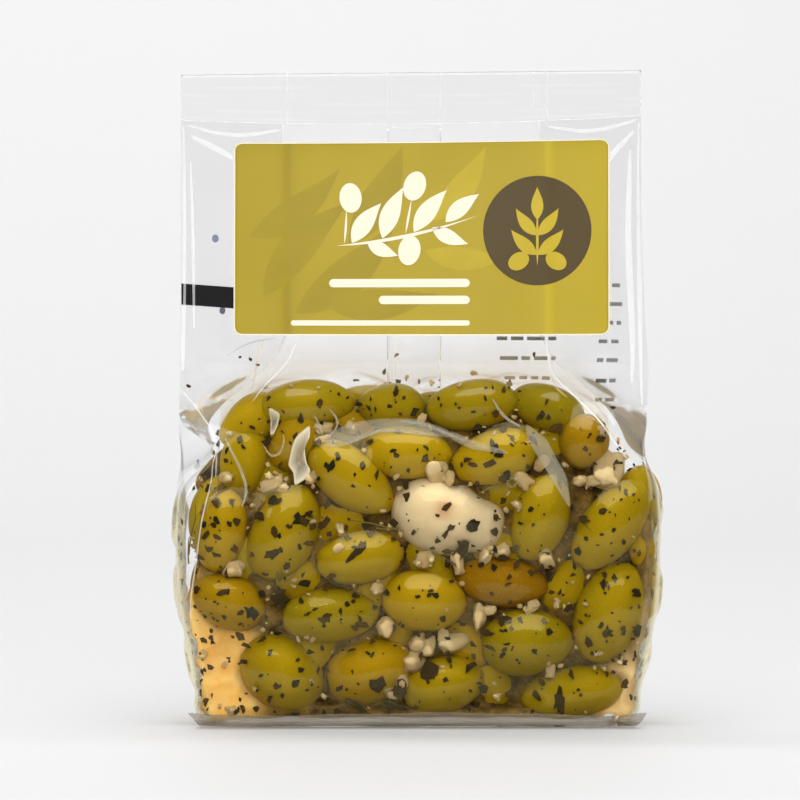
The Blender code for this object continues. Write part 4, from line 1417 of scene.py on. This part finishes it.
def make_garlic(settings):
    """The whole clove, the chopped pieces in the gaps, and the fine crumbs."""
    clove = MeshStore()
    _, (middle, sizes, axes, _) = heap()
    clove_mesh(clove, middle, sizes, axes)
    chopped = MeshStore()
    rng = random.Random(21)
    for x, z, size in GARLIC_SPOTS:
        chunk_mesh(chopped, roomiest(rng, "front", x, z, 1.5, size * 0.42), size, rng)
    for _ in range(60):
        side = "back" if rng.random() < 0.6 else "front"
        x, size = rng.uniform(-54, 54), rng.uniform(1.8, 4.2)
        z = rng.uniform(5, float(marinade_level(x)) - 5)
        chunk_mesh(chopped, roomiest(rng, side, x, z, 5.0, size * 0.5), size, rng)
    crumbs = MeshStore()
    for k in range(settings.crumbs):
        side = "front" if k % 5 < 3 else "back"
        x, size = rng.uniform(-56, 58), rng.uniform(0.5, 1.6)
        z = rng.uniform(3, float(marinade_level(x)))
        chunk_mesh(crumbs, roomiest(rng, side, x, z, 4.0, size * 0.6 + 0.2, 10), size, rng, 2)
    whole = garlic_material("Whole garlic", (0.84, 0.7, 0.43), (0.6, 0.3, 0.11))
    material = garlic_material("Chopped garlic", (0.6, 0.46, 0.23), (0.45, 0.27, 0.09))
    return (
        clove.build("garlic_clove", whole, "bag"),
        chopped.build("garlic_chopped", material, "bag"),
        crumbs.build("garlic_crumbs", material, "bag"),
    )


def herb_material():
    """Dried leaf: brown green to near black, each flake its own tone."""
    material, tree, shader = new_material("Herb flakes")
    mottle = add_mottle(tree, 700.0, 3000.0, 0.4)
    value = tone_value(tree)
    leaf = mix_colour(tree, value, (0.012, 0.013, 0.003), (0.1, 0.05, 0.008))
    leaf = mix_colour(tree, math_node(tree, "MULTIPLY", mottle["Patches"], 0.5), leaf, (0.035, 0.02, 0.003))
    link(tree, leaf, shader.inputs["Base Color"])
    link(tree, mottle["Normal"], shader.inputs["Normal"])
    shader.inputs["Roughness"].default_value = 0.45
    shader.inputs["Specular IOR Level"].default_value = 0.15
    return material


def flake(store, rng, side, x, z, length, width, inset, tone):
    """A torn leaf flake that lies along the film: a thin slab with an uneven outline."""
    count = rng.choice((4, 5, 5, 6, 7)) if length < 4 else rng.choice((10, 12, 14))
    turn = rng.uniform(0, 2 * math.pi)
    angles = [2 * math.pi * (k + rng.uniform(-0.32, 0.32)) / count for k in range(count)]
    radii = [rng.choice((0.55, 0.8, 1.0)) * rng.uniform(0.85, 1.1) for _ in range(count)]
    u = np.array([0.0] + [r * math.cos(a) * length / 2 for a, r in zip(angles, radii)])
    v = np.array([0.0] + [r * math.sin(a) * width / 2 for a, r in zip(angles, radii)])
    across = u * math.cos(turn) - v * math.sin(turn)
    up = np.clip(z + u * math.sin(turn) + v * math.cos(turn), FIN_ROOT + 0.2, 157.0)
    if side in ("left", "right"):
        column = column_at(side, np.clip(x + across / 30.0, 0.03, 0.97), up)
    else:
        column = column_at(side, x + across, up)
    wave = 0.05 * length * np.sin(u * 2.1 / max(length, 1) + rng.uniform(0, 6)) * 0.5
    depth = inset + np.abs(wave)
    outer = on_film(column, up, depth)
    inner = on_film(column, up, depth + 0.07)
    verts = np.concatenate((outer, inner))
    faces = []
    for k in range(count):
        a, b = 1 + k, 1 + (k + 1) % count
        faces.append((0, a, b))
        faces.append((count + 1, count + 1 + b, count + 1 + a))
        faces.append((a, count + 1 + a, count + 1 + b, b))
    store.add(verts, faces, tone)


def make_stems():
    """Thin herb stems between the olives, and the ring of a hollow one seen end on."""
    store = MeshStore()
    for x, z, length, angle, bend in STEMS:
        t = np.linspace(0, 1, 12)
        heading = math.radians(angle) + bend * t
        path_x = x + np.cumsum(np.cos(heading)) * length / 12
        path_z = z + np.cumsum(np.sin(heading)) * length / 12
        half = 0.22 * (1 - 0.5 * t)
        turn = np.linspace(0, 2 * math.pi, 7)[:-1]
        middle = behind_film("front", path_x, path_z, 0.55)
        ring_x = np.cos(turn)[None, :] * half[:, None]
        ring_y = np.sin(turn)[None, :] * half[:, None]
        points = middle[:, None, :] + np.stack(
            (-np.sin(heading)[:, None] * ring_x, ring_y, np.cos(heading)[:, None] * ring_x), -1
        )
        store.add(points, grid_faces(12, 6, closed=True), 0.4)
    x, z, radius = HOLLOW_STEM
    steps, sides = 24, 10
    turn = np.linspace(0, 2 * math.pi, steps, endpoint=False)[:, None]
    around = np.linspace(0, 2 * math.pi, sides, endpoint=False)[None, :]
    middle = behind_film("front", [x], [z], 0.7)[0]
    out = radius + 0.32 * np.cos(around)
    depth = 0.45 * np.sin(around) * np.ones((steps, 1))
    last = (steps - 1) * sides
    faces = grid_faces(steps, sides, closed=True)
    faces += [(last + k, last + (k + 1) % sides, (k + 1) % sides, k) for k in range(sides)]
    store.add(middle + np.stack((out * np.cos(turn), depth, out * np.sin(turn)), -1), faces, 0.8)
    material, tree, shader = new_material("Herb stems")
    mottle = add_mottle(tree, 500.0, 2500.0, 0.3)
    stem = mix_colour(tree, tone_value(tree), (0.1, 0.08, 0.01), (0.4, 0.33, 0.06))
    stem = mix_colour(tree, math_node(tree, "MULTIPLY", mottle["Patches"], 0.4), stem, (0.16, 0.1, 0.02))
    link(tree, stem, shader.inputs["Base Color"])
    link(tree, mottle["Normal"], shader.inputs["Normal"])
    shader.inputs["Roughness"].default_value = 0.4
    return store.build("herb_stems", material, "bag")


def make_herbs(settings):
    """Herb flakes against the inside of the film, the larger torn leaves, and a few stems."""
    rng = random.Random(31)
    small = MeshStore()
    for side, count in (
        ("front", settings.flakes_front),
        ("back", settings.flakes_back),
        ("right", settings.flakes_side),
        ("left", settings.flakes_side),
    ):
        for _ in range(count):
            if side in ("left", "right"):
                x, z = rng.uniform(0.05, 0.95), rng.uniform(4, 62)
            else:
                x = rng.uniform(-59, 60)
                z = 3 + (float(marinade_level(x)) - 1) * rng.random() ** 0.92
            length = 0.8 + 3.0 * rng.random() ** 1.6
            width, inset = length * rng.uniform(0.45, 0.9), rng.uniform(0.1, 0.26)
            flake(small, rng, side, x, z, length, width, inset, rng.random())
    large = MeshStore()
    for x, z, length, width in LARGE_LEAVES:
        flake(large, rng, "front", x, z, length, width, rng.uniform(0.1, 0.25), rng.uniform(0, 0.5))
    for side, count in (("front", 36), ("back", 44)):
        for _ in range(count):
            x = rng.uniform(-56, 56)
            z = 4 + (float(marinade_level(x)) - 6) * rng.random()
            length = rng.uniform(2.6, 5.0)
            width, inset = length * rng.uniform(0.4, 0.75), rng.uniform(0.12, 0.3)
            flake(large, rng, side, x, z, length, width, inset, rng.random())
    for x, z, length in HEADSPACE_FLAKES:
        flake(small, rng, "front", x, z, length, length * 0.6, 0.12, rng.random())
    material = herb_material()
    small.build("herb_flakes", material, "bag", smooth=False)
    large.build("herb_leaves", material, "bag", smooth=False)


def noise_at(points, scale, shift):
    """Smooth noise at each point of a grid."""
    values = [noise.noise(Vector(spot) * scale + Vector(shift)) for spot in points.reshape(-1, 3).tolist()]
    return np.array(values).reshape(points.shape[:-1])


def corner_oil(x, y, z, room):
    """Where clear oil lies instead of paste, from 0 to 1: in the lower front corners, and at the sides."""
    from_middle = np.abs(x - 1.0)
    right = x > 0
    top_of_oil = np.where(right, 28.0, 46.0) + 5.0 * np.sin(y / 3.7 + 1.0)
    near = np.where(right, 42.0 + 13.0 * ramp(z, 10.0, 26.0), 36.0 + 13.0 * ramp(z, 18.0, 38.0))
    low = (1 - ramp(z, top_of_oil - 14.0, top_of_oil)) * ramp(from_middle, near, near + 9.0)
    edge_top = np.where(right, 60.0, 32.0)
    flank = np.where(right, station(RIGHT, z) - x, x - station(LEFT, z))
    forward = 1 - ramp(y, -6.0, 3.0)
    side = (1 - ramp(flank, 1.5, 5.5)) * (1 - ramp(z, edge_top, edge_top + 9.0)) * forward
    return low * np.maximum(ramp(room, 0.2, 2.4), side) * forward, side


def paste_body(store):
    """Fills the film up to the marinade's level; the value is the oil's share and the mark how pale it is."""
    columns = film()[0].shape[1]
    column = np.arange(columns, dtype=float)
    base_x = on_film(column, np.full(columns, 40.0), np.zeros(columns))[:, 0]
    top = marinade_level(np.clip(base_x, -60, 60)) - PASTE_TOP_DROP
    share = np.linspace(0.0, 1.0, PASTE_ROWS)[:, None]
    height = FIN_ROOT + 0.1 + share * (top[None, :] - FIN_ROOT - 0.1)
    grid_column = np.repeat(column[None, :], PASTE_ROWS, 0)
    flat = on_film(grid_column, height, np.zeros_like(height))
    x, y, z = flat[..., 0], flat[..., 1], flat[..., 2]
    low, side = corner_oil(x, y, z, olive_room(flat))
    corner = np.maximum(low, 0.9 * side)
    uneven = noise_at(flat, 0.23, (PASTE_SEED, 0, 0)) + 0.5 * noise_at(flat, 0.7, (0, PASTE_SEED, 0))
    crumple = np.abs(noise_at(flat, 0.11, (PASTE_SEED, PASTE_SEED, 3)))
    depth = (PASTE_DEPTH + PASTE_ROUGHNESS * uneven) * (1 - corner) + 0.9 * corner
    depth = depth * ramp(height, -2.0, 7.0) + 0.5 + 5.0 * low * crumple
    points = on_film(grid_column, height, np.maximum(depth, 0.5))
    tuck = np.clip((share - 1 + PASTE_CLOSE) / PASTE_CLOSE, 0, 1)
    points[..., 1] *= np.sqrt(np.maximum(1 - tuck**2, 0.0004))
    pale = np.where(x > 0, 0.14 + 0.36 * (1 - ramp(z, 18.0, 44.0)), 0.9)
    tone = np.maximum(low, pale * side) * (0.48 + 0.52 * (1 - ramp(y, -13.0, -2.0)))
    cream = np.where(x > 0, 0.7, 0.15)
    faces = grid_faces(PASTE_ROWS, columns, closed=True) + cap_faces()
    faces += cap_faces((PASTE_ROWS - 1) * columns, flip=True)
    store.add(points, faces, tone.reshape(-1), cream.reshape(-1))


def make_marinade():
    """The soft paste of oil, herb and garlic between the olives, and the clear oil that wets it, with a faint
    painted glow in the oiliest parts.
    """
    paste = MeshStore()
    paste_body(paste)
    material, tree, shader = new_material("Marinade paste")
    mottle = add_mottle(tree, 220.0, 1100.0, 0.9)
    patches = map_range(tree, mottle["Patches"], 0.36, 0.64)
    colour = mix_colour(tree, patches, (0.04, 0.02, 0.002), (0.27, 0.16, 0.03))
    colour = mix_colour(tree, math_node(tree, "MULTIPLY", mottle["Speckle"], 0.3), colour, (0.4, 0.28, 0.08))
    oil = mix_colour(tree, patches, (0.88, 0.46, 0.04), (0.95, 0.64, 0.18))
    oil = mix_colour(tree, tone_value(tree, "mark"), oil, (0.93, 0.72, 0.4))
    colour = mix_colour(tree, tone_value(tree), colour, oil)
    link(tree, colour, shader.inputs["Base Color"])
    # Painted glow: the oiliest paste emits a warm light, standing in for light that shines through the oil in
    # the corners.
    strongest = math_node(tree, "POWER", tone_value(tree), 3.0)
    painted_oil_glow = mix_colour(tree, strongest, (0.0, 0.0, 0.0), (0.95, 0.57, 0.14))
    link(tree, painted_oil_glow, shader.inputs["Emission Color"])
    shader.inputs["Emission Strength"].default_value = 0.13
    link(tree, mottle["Normal"], shader.inputs["Normal"])
    soft_food(shader, 0.3, 0.2, (1.0, 0.6, 0.15))
    return paste.build("marinade_paste", material, "bag")


def area_light(name, place, target, width, height, power, colour=(1.0, 1.0, 1.0)):
    """A soft rectangular lamp aimed at a point."""
    data = bpy.data.lights.new(name, "AREA")
    data.shape = "RECTANGLE"
    data.size = width
    data.size_y = height
    data.energy = power
    data.color = colour
    lamp = bpy.data.objects.new(name, data)
    lamp.location = place
    lamp.rotation_euler = (Vector(target) - Vector(place)).to_track_quat("-Z", "Y").to_euler()
    lamp.visible_camera = False
    bpy.context.scene.collection.objects.link(lamp)
    return lamp


def floor_material():
    """A pale floor that fades away at its rim, and is clear when seen from behind the sweep."""
    material = plain_material("Floor", (0.535, 0.535, 0.54), 0.6, 2.0, 0.0, 0.01)
    tree = material.node_tree
    place = tree.nodes.new("ShaderNodeTexCoord")
    parts = tree.nodes.new("ShaderNodeSeparateXYZ")
    link(tree, place.outputs["Object"], parts.inputs[0])
    before = math_node(tree, "MINIMUM", parts.outputs["Y"], 0.0)
    across = math_node(tree, "MULTIPLY", parts.outputs["X"], parts.outputs["X"])
    squares = math_node(tree, "ADD", across, math_node(tree, "MULTIPLY", before, before))
    rim = map_range(tree, math_node(tree, "SQRT", squares, 0.0), 0.4, 1.0, eased=True)
    behind = tree.nodes.new("ShaderNodeNewGeometry")
    clear = tree.nodes.new("ShaderNodeBsdfTransparent")
    mix = tree.nodes.new("ShaderNodeMixShader")
    link(tree, math_node(tree, "MAXIMUM", rim, behind.outputs["Backfacing"]), mix.inputs[0])
    link(tree, tree.nodes["Principled BSDF"].outputs[0], mix.inputs[1])
    link(tree, clear.outputs[0], mix.inputs[2])
    link(tree, mix.outputs[0], tree.nodes["Material Output"].inputs["Surface"])
    return material


def studio_world(settings):
    """Dim light from all round, a pale backdrop for the camera, and a brighter one behind for reflections."""
    world = bpy.data.worlds.new("Studio")
    world.use_nodes = True
    tree = world.node_tree
    dim = tree.nodes["Background"]
    dim.inputs["Color"].default_value = (1.0, 1.0, 1.0, 1.0)
    pale = tree.nodes.new("ShaderNodeBackground")
    pale.inputs["Color"].default_value = (0.88, 0.885, 0.9, 1.0)
    place = tree.nodes.new("ShaderNodeTexCoord")
    parts = tree.nodes.new("ShaderNodeSeparateXYZ")
    link(tree, place.outputs["Generated"], parts.inputs[0])
    rays = tree.nodes.new("ShaderNodeLightPath")
    bright = tree.nodes.new("ShaderNodeMix")
    link(tree, rays.outputs["Is Glossy Ray"], bright.inputs[0])
    bright.inputs[2].default_value = settings.room
    link(tree, map_range(tree, parts.outputs["Y"], -0.45, 0.1, settings.room, 0.5), bright.inputs[3])
    link(tree, bright.outputs[0], dim.inputs["Strength"])
    mix = tree.nodes.new("ShaderNodeMixShader")
    link(tree, rays.outputs["Is Camera Ray"], mix.inputs[0])
    link(tree, dim.outputs[0], mix.inputs[1])
    link(tree, pale.outputs[0], mix.inputs[2])
    link(tree, mix.outputs[0], tree.nodes["World Output"].inputs["Surface"])
    return world


def make_camera(settings):
    """The camera at the photograph's angle, level with the middle of the bag."""
    camera_data = bpy.data.cameras.new("Camera")
    camera_data.sensor_width = SENSOR_WIDTH
    camera_data.lens = SENSOR_WIDTH * settings.distance / VIEW_WIDTH
    camera_data.clip_end = 20.0
    camera = bpy.data.objects.new("Camera", camera_data)
    angle, target = settings.elevation, Vector(VIEW_TARGET)
    camera.location = target + Vector((0.0, -math.cos(angle), math.sin(angle))) * settings.distance
    camera.rotation_euler = (target - camera.location).to_track_quat("-Z", "Y").to_euler()
    bpy.context.scene.collection.objects.link(camera)
    return camera


def make_stage(settings):
    """A white sweep, soft studio lamps and the camera."""
    scene = bpy.context.scene
    scene.view_settings.view_transform = "Standard"
    across = np.linspace(-3.0, 3.0, 31)
    path = [(-1.0, 0.0), (-0.42, 0.0), (-0.2, 0.0), (0.0, 0.0), (0.4, 0.0), (0.9, 0.0)]
    for k in range(1, 13):
        angle = k / 12 * math.pi / 2
        path.append((0.9 + 0.8 * math.sin(angle), 0.8 * (1 - math.cos(angle))))
    path.append((1.7, 3.0))
    verts = [(x, y, z) for y, z in path for x in across]
    mesh = bpy.data.meshes.new("floor")
    mesh.from_pydata(verts, [], grid_faces(len(path), across.size))
    mesh.shade_smooth()
    mesh.materials.append(floor_material())
    floor = bpy.data.objects.new("floor", mesh)
    scene.collection.objects.link(floor)
    scene.world = studio_world(settings)
    area_light("Top softbox", (0.0, -0.46, 1.02), (0.0, -0.12, 0.0), 1.2, 0.88, 8.2)
    for name, place, width, height, power in (
        ("Top fill", (0.0, -0.55, 1.0), 1.4, 1.05, 4.6),
        ("Front fill", (0.0, -1.7, 0.65), 1.6, 0.9, 17.0),
    ):
        fill = area_light(name, place, (0.0, 0.0, 0.08), width, height, power)
        fill.visible_glossy = False
    area_light("Left softbox", (-1.0, -0.1, 0.45), (0.0, 0.0, 0.08), 0.5, 0.8, 3.0)
    area_light("Right softbox", (1.0, -0.05, 0.45), (0.0, 0.0, 0.08), 0.5, 0.8, 3.0)
    area_light("Backdrop lamp", (-0.25, 0.7, 1.7), (-0.1, 1.6, 0.5), 2.2, 0.6, 41.0)
    scene.camera = make_camera(settings)


class OLIVEBAG_OT_film(bpy.types.Operator):
    """Make the clear film tube, its seals and its back seam"""

    bl_idname = "olivebag.film"
    bl_label = "Film and seals"

    def execute(self, context):
        settings = context.scene.olivebag_film
        make_film(settings)
        make_top_seal(settings)
        make_bottom_seal()
        make_back_seam(settings)
        make_crease_highlights()
        make_fold_highlights()
        return {"FINISHED"}


class OLIVEBAG_OT_marks(bpy.types.Operator):
    """Make the plain marks printed on the film"""

    bl_idname = "olivebag.marks"
    bl_label = "Film print"

    def execute(self, context):
        make_film_print()
        return {"FINISHED"}


class OLIVEBAG_OT_label(bpy.types.Operator):
    """Make the label and its print"""

    bl_idname = "olivebag.label"
    bl_label = "Label"

    def execute(self, context):
        settings = context.scene.olivebag_label
        make_label(settings)
        make_label_print(settings)
        return {"FINISHED"}


class OLIVEBAG_OT_olives(bpy.types.Operator):
    """Make the olives"""

    bl_idname = "olivebag.olives"
    bl_label = "Olives"

    def execute(self, context):
        make_olives(context.scene.olivebag_contents)
        return {"FINISHED"}


class OLIVEBAG_OT_garlic(bpy.types.Operator):
    """Make the garlic clove, the chopped pieces and the crumbs"""

    bl_idname = "olivebag.garlic"
    bl_label = "Garlic"

    def execute(self, context):
        make_garlic(context.scene.olivebag_contents)
        return {"FINISHED"}


class OLIVEBAG_OT_herbs(bpy.types.Operator):
    """Make the herb flakes and leaves"""

    bl_idname = "olivebag.herbs"
    bl_label = "Herbs"

    def execute(self, context):
        make_herbs(context.scene.olivebag_contents)
        make_stems()
        return {"FINISHED"}


class OLIVEBAG_OT_marinade(bpy.types.Operator):
    """Make the paste and the oil between the olives"""

    bl_idname = "olivebag.marinade"
    bl_label = "Marinade"

    def execute(self, context):
        make_marinade()
        make_oil_line()
        return {"FINISHED"}


class OLIVEBAG_OT_stage(bpy.types.Operator):
    """Make the floor, the lamps and the camera"""

    bl_idname = "olivebag.stage"
    bl_label = "Stage"

    def execute(self, context):
        make_stage(context.scene.olivebag_stage)
        return {"FINISHED"}


OPERATORS = (
    OLIVEBAG_OT_film,
    OLIVEBAG_OT_marks,
    OLIVEBAG_OT_label,
    OLIVEBAG_OT_olives,
    OLIVEBAG_OT_garlic,
    OLIVEBAG_OT_herbs,
    OLIVEBAG_OT_marinade,
    OLIVEBAG_OT_stage,
)


class OLIVEBAG_PT_panel(bpy.types.Panel):
    """Lists the pieces and their settings"""

    bl_label = "Olive bag"
    bl_idname = "OLIVEBAG_PT_panel"
    bl_space_type = "VIEW_3D"
    bl_region_type = "UI"
    bl_category = "Olive bag"

    def draw(self, context):
        for settings in SETTINGS:
            group = getattr(context.scene, settings)
            for name in group.bl_rna.properties.keys():
                if name not in ("rna_type", "name"):
                    self.layout.prop(group, name)
        for operator in OPERATORS:
            self.layout.operator(operator.bl_idname)


SETTINGS = {
    "olivebag_film": FilmSettings,
    "olivebag_contents": ContentsSettings,
    "olivebag_label": LabelSettings,
    "olivebag_stage": StageSettings,
}
CLASSES = tuple(SETTINGS.values()) + OPERATORS + (OLIVEBAG_PT_panel,)


def register():
    """Registers the add-on's classes and settings."""
    for cls in CLASSES:
        bpy.utils.register_class(cls)
    for name, group in SETTINGS.items():
        setattr(bpy.types.Scene, name, PointerProperty(type=group))


def unregister():
    """Takes the add-on's classes and settings away again."""
    for name in SETTINGS:
        delattr(bpy.types.Scene, name)
    for cls in reversed(CLASSES):
        bpy.utils.unregister_class(cls)


def main():
    """Makes the pieces in order."""
    register()
    bpy.ops.olivebag.stage()
    bpy.ops.olivebag.film()
    bpy.ops.olivebag.marks()
    bpy.ops.olivebag.label()
    bpy.ops.olivebag.olives()
    bpy.ops.olivebag.garlic()
    bpy.ops.olivebag.herbs()
    bpy.ops.olivebag.marinade()


if __name__ == "__main__":
    main()
